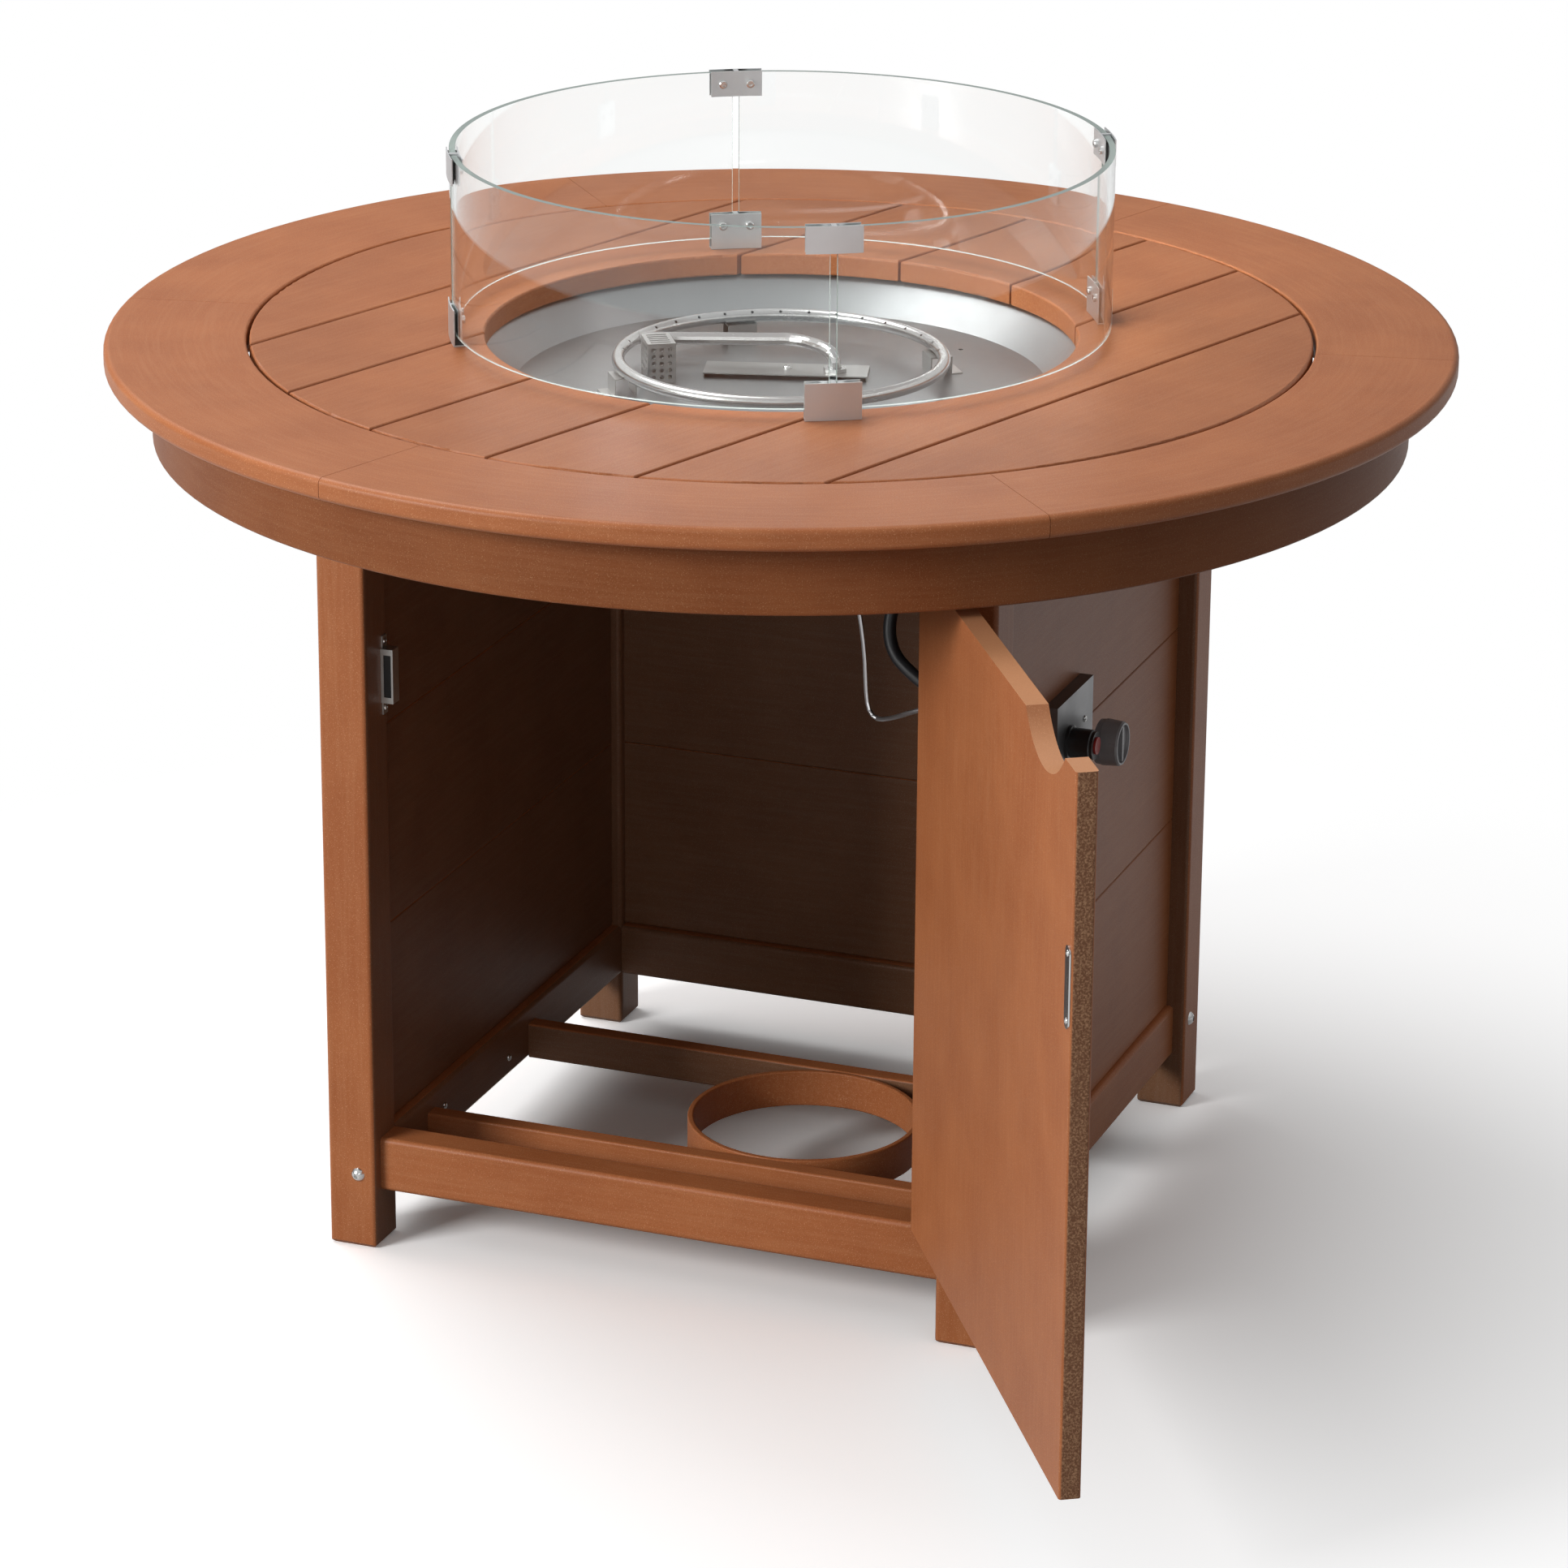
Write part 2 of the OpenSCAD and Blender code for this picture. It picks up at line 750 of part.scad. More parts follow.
module hinge_pins() {
    color("gainsboro")
    for (z = hinge_heights()) translate([pin_x, pin_y, z]) {
        translate([0, 0, -hinge_len / 2]) cylinder(hinge_len, pin_r, pin_r);
        for (s = [0, 1]) mirror([0, 0, s])
            translate([0, 0, hinge_len / 2]) cylinder(1.4, knuckle_r, 2);
    }
}

module catch_body() {
    x = seat - cab_in;
    color("gainsboro")
    translate([x, catch_front, catch_z]) {
        difference() {
            translate([0, 0, -catch_h / 2]) cube([catch_w, catch_d, catch_h]);
            translate([3, -1, -catch_h / 2 + 6]) cube([catch_w - 5, catch_d - 1, catch_h - 12]);
        }
        difference() {
            translate([0, 2, -catch_base_h / 2]) cube([catch_base_t, catch_d - 4, catch_base_h]);
            for (s = [-1, 1]) translate([-1, catch_d / 2, s * (catch_base_h / 2 - 6)])
                rod_x(4, 1.7);
        }
    }
}

module catch_magnets() {
    color("dimgray")
    translate([seat - cab_in + 3 + slip, catch_front + 0.3, catch_z - catch_h / 2 + 6 + slip])
        cube([catch_w - 5 - 2 * slip, catch_d - 2.5, catch_h - 12 - 2 * slip]);
}

// Fire pan and burner

module fire_pan() {
    bend = pan_t * tan(pan_slope / 2);
    section = [
        [0, pan_floor], [pan_floor_r, pan_floor], [pan_rim_r, under_z - seat],
        [pan_flange_r, under_z - seat], [pan_flange_r, under_z - seat - pan_t],
        [pan_rim_r + bend, under_z - seat - pan_t], [pan_floor_r + bend, pan_floor - pan_t],
        [0, pan_floor - pan_t]
    ];
    color("silver")
    difference() {
        rotate_extrude($fn = round_fn) polygon(section);
        translate([feed_x, feed_y, pan_floor - 5]) cylinder(10, tube_r + 1, tube_r + 1);
        translate([pilot_points[0][0], pilot_points[0][1], pan_floor - 5])
            cylinder(10, pilot_r + 1.5, pilot_r + 1.5);
        for (i = [0 : 3])
            rotate([0, 0, weep_turn + 90 * i]) translate([weep_ring_r, 0, pan_floor - 5])
                cylinder(10, weep_r, weep_r);
        at_pan_screws() translate([0, 0, -5])
            cylinder(10, pan_screw_r + bolt_slip, pan_screw_r + bolt_slip);
    }
}

module pan_screws() {
    color("silver")
    at_pan_screws() {
        translate([0, 0, -pan_t - 2 * seat]) cylinder(11, pan_screw_r, pan_screw_r);
        translate([0, 0, -pan_t - 2 * seat - 2.2]) cylinder(2.2, 2.6, 4);
    }
}

// Closed round tube of radius r, made of two half turns
module ring_tube(r) {
    for (turn = [0, 180])
        rotate([0, 0, turn]) rotate_extrude(angle = 180, $fn = round_fn)
            translate([burner_r, 0]) circle(r);
}

module burner_ring() {
    step = 360 / port_count;
    color("silver")
    translate([0, 0, burner_z])
        difference() {
            ring_tube(tube_r);
            ring_tube(tube_r - tube_wall);
            for (i = [0 : port_count - 1])
                rotate([0, 0, (i + 0.5) * step]) translate([burner_r, 0, 0]) rotate([0, -44, 0])
                    cylinder(tube_r + 1, port_d / 2, port_d / 2, $fn = 16);
        }
}

// Feed tube up through the pan and across to the inner side of the ring
module burner_feed() {
    color("silver")
    difference() {
        swept_tube(feed_points, tube_r, 12, 3);
        translate([0, 0, burner_z]) ring_tube(tube_r + 0.1);
    }
}

// Folded feet that carry the burner ring
module burner_feet() {
    h = burner_lift - tube_r - slip;
    color("silver")
    for (i = [0 : foot_count - 1])
        rotate([0, 0, foot_turn + i * 360 / foot_count])
            translate([burner_r, 0, pan_floor + slip]) rotate([90, 0, 0])
                linear_extrude(foot_w, center = true) {
                    translate([-foot_l / 2, h - foot_sheet]) square([foot_l, foot_sheet]);
                    translate([-foot_l / 2, 0]) square([foot_sheet, h]);
                    translate([foot_l / 2 - foot_sheet, 0]) square([foot_sheet, h]);
                    translate([foot_l / 2 - foot_sheet, 0]) square([12, foot_sheet]);
                }
}

// Raised plate that steadies the feed tube over its hole in the pan
module burner_bracket() {
    color("silver")
    difference() {
        translate([bracket_x, bracket_y, pan_floor + slip]) rotate([0, 0, bracket_turn])
            difference() {
                translate([-bracket_l / 2, -bracket_w / 2, 0])
                    cube([bracket_l, bracket_w, bracket_up]);
                translate([-bracket_l / 2 + foot_sheet, -bracket_w, -1])
                    cube([bracket_l - 2 * foot_sheet, 2 * bracket_w, bracket_up + 1 - foot_sheet]);
            }
        translate([feed_x, feed_y, pan_floor - 1]) cylinder(20, tube_r + 1, tube_r + 1);
        translate([-6, 34, pan_floor - 1]) cylinder(20, 2.2, 2.2);
    }
}

module feed_locknuts() {
    low = pan_floor - pan_t - nut_h - slip;
    elbow = [hose_points[0][0] - feed_x, hose_points[0][1] - feed_y];
    elbow_turn = atan2(elbow[1], elbow[0]);
    color("silver") {
        translate([feed_x, feed_y, pan_floor + bracket_up + 2 * slip])
            hex_nut(nut_r, nut_h - 1, tube_r + 0.4);
        translate([feed_x, feed_y, low]) hex_nut(nut_r, nut_h, tube_r + slip);
        difference() {
            translate([feed_x, feed_y, 0]) {
                translate([0, 0, elbow_z - 11]) cylinder(low - elbow_z + 11 - 3, 11, 11, $fn = 6);
                translate([0, 0, elbow_z]) rotate([0, 0, elbow_turn]) {
                    rod_x(norm(elbow) - seat, hose_r - 1);
                    translate([14, 0, 0]) rod_x(8, hose_r + 2.5);
                }
            }
            translate([feed_x, feed_y, pan_floor - feed_low - slip])
                cylinder(feed_low, tube_r + slip, tube_r + slip);
        }
    }
}

module pilot_cage() {
    color("silver")
    translate([cage_x, cage_y, pan_floor + slip]) rotate([0, 0, cage_turn])
        difference() {
            translate([-cage_w / 2, -cage_l / 2, 0]) cube([cage_w, cage_l, cage_h]);
            translate([-cage_w / 2 + cage_sheet, -cage_l / 2 + cage_sheet, -1])
                cube([cage_w - 2 * cage_sheet, cage_l - 2 * cage_sheet, cage_h + 1 - cage_sheet]);
            for (x = [-1 : 1], z = [0 : 4])
                translate([x * 8, 0, 6 + z * 7]) rotate([90, 0, 0])
                    cylinder(cage_l + 2, cage_hole_r, cage_hole_r, center = true, $fn = 20);
            for (y = [-1.5 : 1.5], z = [0 : 4])
                translate([0, y * 8.4, 6 + z * 7]) rotate([0, 90, 0])
                    cylinder(cage_w + 2, cage_hole_r, cage_hole_r, center = true, $fn = 20);
            for (y = [-2 : 2])
                translate([0, y * 7, cage_h])
                    cube([cage_w - 8, 2.6, 4], center = true);
        }
}

module spark_electrode() {
    color("white")
    translate([cage_x + 11, cage_y - 4, pan_floor + slip]) {
        cylinder(2, 4.5, 4.5);
        cylinder(17, 2.4, 2.4);
        cylinder(26, 0.8, 0.8);
    }
}

// Wind guard

module glass_panel(turn) {
    color("lightcyan", 0.4)
    translate([0, 0, glass_z]) rotate([0, 0, turn + (90 - glass_angle) / 2])
        band(glass_r - glass_t / 2, glass_r + glass_t / 2, glass_h, glass_angle);
}

module glass_back() { glass_panel(guard_turn); }
module glass_left() { glass_panel(guard_turn + 90); }
module glass_front() { glass_panel(guard_turn + 180); }
module glass_right() { glass_panel(guard_turn + 270); }

// Angles of the four gaps between the glass panels
function guard_angles() = [for (i = [0 : 3]) guard_turn + 90 * i];

// Clip over both sides of two glass panels, with a web in the gap between them
module guard_clip(h, screw_z, floor_t) {
    difference() {
        union() {
            rotate([0, 0, -clip_angle / 2]) {
                band(clip_in, clip_in + clip_t, h, clip_angle);
                band(clip_out - clip_t, clip_out, h, clip_angle);
                if (floor_t > 0) band(clip_in, clip_out, floor_t, clip_angle);
            }
            rotate([0, 0, -web_angle / 2])
                band(clip_in + clip_t / 2, clip_out - clip_t / 2, h, web_angle);
        }
        at_guard_screws(screw_z) translate([-1, 0, 0])
            rod_x(clip_t + 1.5, guard_screw_r + slip);
    }
}

// Two screw places on the inner face of the clip at angle 0
module at_guard_screws(z) {
    for (s = [-0.27, 0.27])
        rotate([0, 0, clip_angle * s]) translate([clip_in, 0, z]) children();
}

// Heights of the clips' undersides and of their screws
guard_low = table_h + guard_clear;
guard_high = glass_top + 1.5 - clip_top_h;
screw_low = clip_h * 0.67;
screw_high = clip_top_h * 0.5;

module guard_clips_bottom() {
    color("silver")
    for (a = guard_angles())
        rotate([0, 0, a]) translate([0, 0, guard_low]) guard_clip(clip_h, screw_low, clip_t);
}

module guard_clips_top() {
    color("silver")
    for (a = guard_angles())
        rotate([0, 0, a]) translate([0, 0, guard_high]) guard_clip(clip_top_h, screw_high, 0);
}

// Rubber lining between a clip and the glass, open from the height floor_h up
module guard_lining(h, floor_h) {
    difference() {
        rotate([0, 0, 0.2 - clip_angle / 2])
            band(clip_in + clip_t + 0.1, clip_out - clip_t - 0.1, h, clip_angle - 0.4);
        translate([0, 0, floor_h]) rotate([0, 0, -clip_angle / 2])
            band(glass_r - glass_t / 2 - seat, glass_r + glass_t / 2 + seat, h + 2, clip_angle);
        translate([0, 0, -1]) rotate([0, 0, -web_angle / 2 - 0.05])
            band(clip_in, clip_out, h + 2, web_angle + 0.1);
    }
}

module guard_pads() {
    low = clip_t + slip;
    color("dimgray")
    for (a = guard_angles()) rotate([0, 0, a]) {
        translate([0, 0, guard_low + low])
            guard_lining(clip_h - low - 3, glass_lift - guard_clear - low - slip);
        translate([0, 0, guard_high + 2]) guard_lining(clip_top_h - 5, -1);
    }
}

module guard_screws() {
    head = [
        [0, 0], [guard_head_r, 0], [guard_head_r, guard_head_l - 1],
        [guard_head_r - 1, guard_head_l], [0, guard_head_l]
    ];
    color("silver")
    for (a = guard_angles(), z = [guard_low + screw_low, guard_high + screw_high])
        rotate([0, 0, a]) at_guard_screws(z) {
            translate([-slip, 0, 0]) rotate([0, -90, 0]) difference() {
                rotate_extrude() polygon(head);
                translate([0, 0, guard_head_l - 2]) cylinder(3, 2.2, 2.2, $fn = 6);
            }
            translate([-0.5, 0, 0]) rod_x(clip_t + 0.55, guard_screw_r);
        }
}

// Controls

module control_box() {
    color("silver")
    difference() {
        translate([box_x + slip, box_y - box_w / 2, box_z - box_h / 2])
            cube([box_d - slip, box_w, box_h]);
        translate([box_x - 1, box_y - box_w / 2 + box_sheet, box_z - box_h / 2 + box_sheet])
            cube([box_d + 1 - box_sheet, box_w - 2 * box_sheet, box_h - 2 * box_sheet]);
        translate([box_face - 5, valve_y, box_z]) rod_x(10, stem_hole_r);
        translate([box_face - 5, igniter_y, igniter_z]) rod_x(10, barrel_r + bolt_slip);
        for (s = [-1, 1])
            translate([box_face - 5, valve_y, box_z + s * valve_screw_step]) rod_x(10, 2.3);
    }
}

// Valve body behind the box face, with its inlet below and its two outlets at the back
module gas_valve() {
    face = box_face - box_sheet - slip;
    back = port_x + port_l;
    middle = back + 10;
    pilot_y = pilot_points[len(pilot_points) - 1][1];
    pilot_z = pilot_points[len(pilot_points) - 1][2];
    color("darkgoldenrod")
    difference() {
        union() {
            translate([face - 4, valve_y - 11, box_z - valve_screw_step - 6])
                cube([4, 22, 2 * valve_screw_step + 12]);
            translate([back, valve_y, box_z]) rod_x(face - back, 13);
            translate([middle, valve_y, box_z - 36]) cylinder(36, inlet_r + 2.5, inlet_r + 2.5);
            translate([port_x, valve_y, box_z]) rod_x(port_l, hose_r - 1);
            translate([port_x + 8, valve_y, box_z]) rod_x(8, hose_r + 2.5);
            translate([port_x + 8, pilot_y, pilot_z]) rod_x(30, 5);
            translate([port_x, pilot_y, pilot_z]) rod_x(10, pilot_r + 1.5);
            translate([back + 4, pilot_y, pilot_z - 5]) cube([12, valve_y - pilot_y, 10]);
            translate([back + 4, valve_y - 5, box_z]) cube([12, 10, pilot_z + 5 - box_z]);
        }
        translate([plunger_back - push_travel - 2, valve_y, box_z]) rod_x(40, valve_bore_r);
        translate([middle, valve_y, box_z - 37]) cylinder(14, inlet_r, inlet_r);
        for (s = [-1, 1])
            translate([face - 5, valve_y, box_z + s * valve_screw_step]) rod_x(6, 1.9);
    }
}

// Sleeve that slides in the valve and carries the stem
module valve_plunger() {
    color("goldenrod")
    translate([plunger_back, valve_y, box_z])
        difference() {
            rod_x(plunger_l, valve_bore_r - slip);
            translate([-1, 0, 0]) rod_x(plunger_l + 2, stem_r + slip);
        }
}

// Knob with its stem, about the X axis from x = 0 at the knob's back
module knob_shape() {
    r = knob_d / 2;
    stem_back = plunger_back - box_face - knob_gap;
    section = [
        [0, 0], [9, 0], [9, 2], [r - 2.5, 2], [r - 1, 3], [r - 0.5, 8], [r, 9],
        [r - 1.2, knob_l - 2], [r - 2.4, knob_l], [r - 4.2, knob_l], [r - 5, knob_l - 2.5],
        [0, knob_l - 4]
    ];
    rotate([0, 90, 0]) {
        rotate_extrude($fn = 96) polygon(section);
        translate([0, 0, stem_back]) cylinder(1 - stem_back, stem_r, stem_r);
        translate([0, 0, stem_back + plunger_l + 2 * slip])
            cylinder(2, stem_r + 1.6, stem_r + 1.6);
    }
    translate([knob_l - 4.5, -2.2, -r + 5.4]) cube([4.1, 4.4, 2 * r - 10.8]);
}

module valve_knob() {
    color("dimgray") translate([box_face + knob_gap, valve_y, box_z]) knob_shape();
}

module igniter_body() {
    r = igniter_d / 2;
    back = -24;
    section = [
        [0, back], [barrel_r, back], [barrel_r, slip], [r + 2, slip], [r + 2, 3], [r, 3.6],
        [r, igniter_l - 4], [r - 1.2, igniter_l - 3], [r - 1.2, igniter_l], [0, igniter_l]
    ];
    color("black")
    translate([box_face, igniter_y, igniter_z]) {
        difference() {
            rotate([0, 90, 0]) rotate_extrude($fn = 96) polygon(section);
            translate([igniter_l - 14, 0, 0]) rod_x(20, button_r + slip);
        }
        translate([-box_sheet - slip, 0, 0]) rotate([0, -90, 0]) difference() {
            cylinder(4, 15, 15, $fn = 6);
            translate([0, 0, -1]) cylinder(6, barrel_r + slip, barrel_r + slip);
        }
    }
}

module igniter_button() {
    color("red")
    translate([box_face + igniter_l - 14 + push_travel + 1, igniter_y, igniter_z])
        rod_x(14 - push_travel - 1 + button_out, button_r);
}

module gas_hose() {
    color("black") swept_tube(hose_points, hose_r, 12, 3);
}

module pilot_tube() {
    color("silver") swept_tube(pilot_points, pilot_r, 8, 2);
}

module plank_1() { plank(1); }
module plank_2() { plank(2); }
module plank_3() { plank(3); }
module plank_4() { plank(4); }
module plank_5() { plank(5); }
module plank_6() { plank(6); }
module plank_7() { plank(7); }

ring_boards();
plank_1();
plank_2();
plank_3();
plank_4();
plank_5();
plank_6();
plank_7();
top_battens();
joint_cleats();
apron_front();
apron_back();
post_front_left();
post_front_right();
post_back_left();
post_back_right();
rail_front_bottom();
rail_back_bottom();
rail_left_bottom();
rail_right_bottom();
top_rails();
wall_left();
wall_right();
wall_back();
cross_rail_front();
cross_rail_back();
tank_ring();
frame_bolts();
door_panel();
strike_plate();
hinge_door_leaves();
hinge_post_leaves();
hinge_pins();
catch_body();
catch_magnets();
fire_pan();
pan_screws();
burner_ring();
burner_feed();
burner_feet();
burner_bracket();
feed_locknuts();
pilot_cage();
spark_electrode();
glass_front();
glass_right();
glass_back();
glass_left();
guard_clips_top();
guard_clips_bottom();
guard_pads();
guard_screws();
control_box();
gas_valve();
valve_plunger();
valve_knob();
igniter_body();
igniter_button();
gas_hose();
pilot_tube();
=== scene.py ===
"""Gas fire pit table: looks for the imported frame, in metres, +Z up, front -Y."""
import json
import math

import bmesh
import bpy
from mathutils import Matrix, Vector


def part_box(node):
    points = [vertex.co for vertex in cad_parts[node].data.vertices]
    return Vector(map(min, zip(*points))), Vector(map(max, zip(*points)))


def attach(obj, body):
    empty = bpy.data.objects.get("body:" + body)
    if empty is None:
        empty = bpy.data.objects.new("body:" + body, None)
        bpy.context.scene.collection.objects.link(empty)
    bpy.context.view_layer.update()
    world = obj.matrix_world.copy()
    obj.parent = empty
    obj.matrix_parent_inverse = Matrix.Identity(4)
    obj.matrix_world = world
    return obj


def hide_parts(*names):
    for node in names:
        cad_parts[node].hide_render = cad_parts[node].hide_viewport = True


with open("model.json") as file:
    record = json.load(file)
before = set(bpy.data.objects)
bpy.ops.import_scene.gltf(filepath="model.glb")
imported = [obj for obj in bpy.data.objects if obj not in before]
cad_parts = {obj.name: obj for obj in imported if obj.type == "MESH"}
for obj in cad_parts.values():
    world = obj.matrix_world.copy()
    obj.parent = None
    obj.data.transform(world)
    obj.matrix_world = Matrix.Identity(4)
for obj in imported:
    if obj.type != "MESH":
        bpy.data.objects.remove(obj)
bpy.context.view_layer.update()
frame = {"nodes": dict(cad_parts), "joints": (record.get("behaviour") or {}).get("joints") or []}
NODES = frame["nodes"]
scene = bpy.context.scene


# Camera, solved from the photograph

PHOTO_PX = 1932
FOCAL_PX = 7177.29
SENSOR_MM = 36.0
cam_data = bpy.data.cameras.new("camera")
cam_data.sensor_fit = "HORIZONTAL"
cam_data.sensor_width = SENSOR_MM
cam_data.lens = FOCAL_PX / PHOTO_PX * SENSOR_MM
cam_data.clip_start = 0.1
cam_data.clip_end = 60.0
camera = bpy.data.objects.new("camera", cam_data)
scene.collection.objects.link(camera)
camera.matrix_world = Matrix((
    (0.9338911, -0.1260855, 0.3345891, 1.9664382),
    (0.3575152, 0.3148734, -0.8792256, -5.1527886),
    (0.0055044, 0.9407216, 0.3391349, 2.4049159),
    (0, 0, 0, 1),
))
scene.camera = camera


# Route of the gas hose, heights above the valve, as in the part's source. The shift in Y grows
# along the route and brings the hose's end to its place beside the pilot tube.

VALVE = Vector((0.288, -0.055, 0.527))
ELBOW_Z = 0.7925
HOSE_D = 0.013
HOSE_SHIFT = 0.006
HOSE_ROUTE = [
    (0.074, 0.032, 0.261), (0.084, 0.0301, 0.261), (0.094, 0.0282, 0.261), (0.113, 0.022, 0.254),
    (0.130, 0.013, 0.240), (0.142, 0.003, 0.218), (0.147, -0.008, 0.190), (0.145, -0.018, 0.160),
    (0.138, -0.027, 0.130), (0.131, -0.035, 0.103), (0.129, -0.042, 0.078), (0.137, -0.048, 0.057),
    (0.155, -0.053, 0.043), (0.178, -0.057, 0.030), (0.200, -0.060, 0.016), (0.224, -0.061, 0.004),
    (0.248, -0.061, 0.0), (0.2678, -0.061, 0.0),
]


def hose_point(i):
    """Point i of the hose's middle line, from the elbow down to the valve."""
    x, y, z = HOSE_ROUTE[i]
    shift = HOSE_SHIFT * i / (len(HOSE_ROUTE) - 1)
    return Vector((x, y + shift, VALVE.z + z * (ELBOW_Z - VALVE.z) / HOSE_ROUTE[0][2]))


HOSE_POINTS = [hose_point(i) for i in range(len(HOSE_ROUTE))]


# Shader helpers

TURN_LENGTH = 3.77


def material(name):
    """New material with an empty Principled shader: the material, its tree and the shader."""
    m = bpy.data.materials.new(name)
    m.use_nodes = True
    m.node_tree.nodes.clear()
    out = m.node_tree.nodes.new("ShaderNodeOutputMaterial")
    shader = m.node_tree.nodes.new("ShaderNodeBsdfPrincipled")
    m.node_tree.links.new(shader.outputs[0], out.inputs[0])
    return m, m.node_tree, shader


def node(tree, kind, **values):
    """New shader node. A value goes to the input of that name, or else to the setting."""
    n = tree.nodes.new(kind)
    for key, value in values.items():
        if key in n.inputs:
            n.inputs[key].default_value = value
        else:
            setattr(n, key, value)
    return n


def plug(tree, value, socket):
    """Links a node's output to a socket, or sets a plain number or colour there."""
    if hasattr(value, "links"):
        tree.links.new(value, socket)
    elif isinstance(value, tuple) and len(value) == 3 and socket.type == "RGBA":
        socket.default_value = (*value, 1)
    else:
        socket.default_value = value


def maths(tree, operation, a, b=0.0, c=0.0):
    """Result of a maths node. Each value is a number or a node's output."""
    n = node(tree, "ShaderNodeMath", operation=operation)
    for value, socket in zip((a, b, c), n.inputs):
        plug(tree, value, socket)
    return n.outputs[0]


def coords(tree, stretch=(1, 1, 1), turn=(0, 0, 0)):
    """Object coordinates in metres, turned so that local X runs along the grain, then stretched."""
    c = node(tree, "ShaderNodeTexCoord")
    m = node(tree, "ShaderNodeMapping", vector_type="TEXTURE")
    m.inputs["Rotation"].default_value = turn
    tree.links.new(c.outputs["Object"], m.inputs["Vector"])
    s = node(tree, "ShaderNodeVectorMath", operation="MULTIPLY")
    s.inputs[1].default_value = stretch
    tree.links.new(m.outputs[0], s.inputs[0])
    return s.outputs[0]


def unrolled(tree, stretch):
    """Coordinates round the table's middle: arc, radius and height in metres, then stretched.

    TURN_LENGTH is the arc of one full turn, right for a radius of 0.6 m.
    """
    c = node(tree, "ShaderNodeTexCoord").outputs["Object"]
    g = node(tree, "ShaderNodeTexGradient", gradient_type="RADIAL")
    tree.links.new(c, g.inputs["Vector"])
    sep = node(tree, "ShaderNodeSeparateXYZ")
    tree.links.new(c, sep.inputs[0])
    squares = maths(tree, "MULTIPLY_ADD", sep.outputs[1], sep.outputs[1],
                    maths(tree, "MULTIPLY", sep.outputs[0], sep.outputs[0]))
    join = node(tree, "ShaderNodeCombineXYZ")
    tree.links.new(maths(tree, "MULTIPLY", g.outputs["Fac"], TURN_LENGTH), join.inputs[0])
    tree.links.new(maths(tree, "SQRT", squares), join.inputs[1])
    tree.links.new(sep.outputs[2], join.inputs[2])
    s = node(tree, "ShaderNodeVectorMath", operation="MULTIPLY")
    s.inputs[1].default_value = stretch
    tree.links.new(join.outputs[0], s.inputs[0])
    return s.outputs[0]


def noise(tree, vector, scale, detail=2.0, rough=0.5):
    """Noise of about 0 to 1, with its grain about 1 / scale metres."""
    n = node(tree, "ShaderNodeTexNoise", Scale=scale, Detail=detail, Roughness=rough)
    tree.links.new(vector, n.inputs["Vector"])
    return n.outputs["Fac"]


def ramp(tree, value, low, high, out_low=0.0, out_high=1.0):
    """Takes low to out_low and high to out_high, straight in between and level outside."""
    r = node(tree, "ShaderNodeMapRange")
    plug(tree, value, r.inputs["Value"])
    for key, number in (("From Min", low), ("From Max", high),
                        ("To Min", out_low), ("To Max", out_high)):
        r.inputs[key].default_value = number
    return r.outputs[0]


def mix(tree, factor, a, b):
    """Colour a at factor 0, colour b at factor 1."""
    m = node(tree, "ShaderNodeMix", data_type="RGBA")
    plug(tree, factor, m.inputs[0])
    plug(tree, a, m.inputs[6])
    plug(tree, b, m.inputs[7])
    return m.outputs[2]


def bump(tree, shader, height, strength, distance):
    """Roughens a shader's surface by a height from 0 to 1, times distance in metres."""
    b = node(tree, "ShaderNodeBump", Strength=strength, Distance=distance)
    tree.links.new(height, b.inputs["Height"])
    tree.links.new(b.outputs[0], shader.inputs["Normal"])


def facing(tree, axis):
    """How far the surface faces along an axis of the piece, 0 to 1, either way."""
    c = node(tree, "ShaderNodeTexCoord")
    d = node(tree, "ShaderNodeVectorMath", operation="DOT_PRODUCT")
    d.inputs[1].default_value = axis
    tree.links.new(c.outputs["Normal"], d.inputs[0])
    return maths(tree, "ABSOLUTE", d.outputs["Value"])


def outwards(tree):
    """Above 0 on faces that look away from the table's middle, below 0 on those that look to it."""
    c = node(tree, "ShaderNodeTexCoord")
    d = node(tree, "ShaderNodeVectorMath", operation="DOT_PRODUCT")
    tree.links.new(c.outputs["Normal"], d.inputs[0])
    tree.links.new(c.outputs["Object"], d.inputs[1])
    return d.outputs["Value"]


def srgb(r, g, b):
    """Linear colour from 8-bit display values."""
    return tuple(
        (c / 255 / 12.92) if c / 255 <= 0.04045 else ((c / 255 + 0.055) / 1.055) ** 2.4
        for c in (r, g, b)
    )


# Materials

LUMBER = srgb(174, 104, 61)
LUMBER_DEEP = srgb(164, 95, 54)
LUMBER_PALE = srgb(214, 158, 116)
LUMBER_DARK = srgb(104, 56, 30)
CUT = srgb(122, 80, 54)
CUT_SPECK = srgb(192, 148, 112)
# Dark cool tint of the painted shade on faces that look towards the table's middle.
PAINTED_SHADE_TINT = (0.54, 0.76, 1.1)
CLOUD_SCALE = 11.0
LINE_SCALE = 260.0
GRAIN_SCALE = 820.0
SPECK_SCALE = 1050.0
GRIT_SCALE = 520.0
LINE_STRETCH = 0.05
BRUSH_SCALE = 1300.0
SMEAR_SCALE = 14.0
SCUFF_SCALE = 40.0


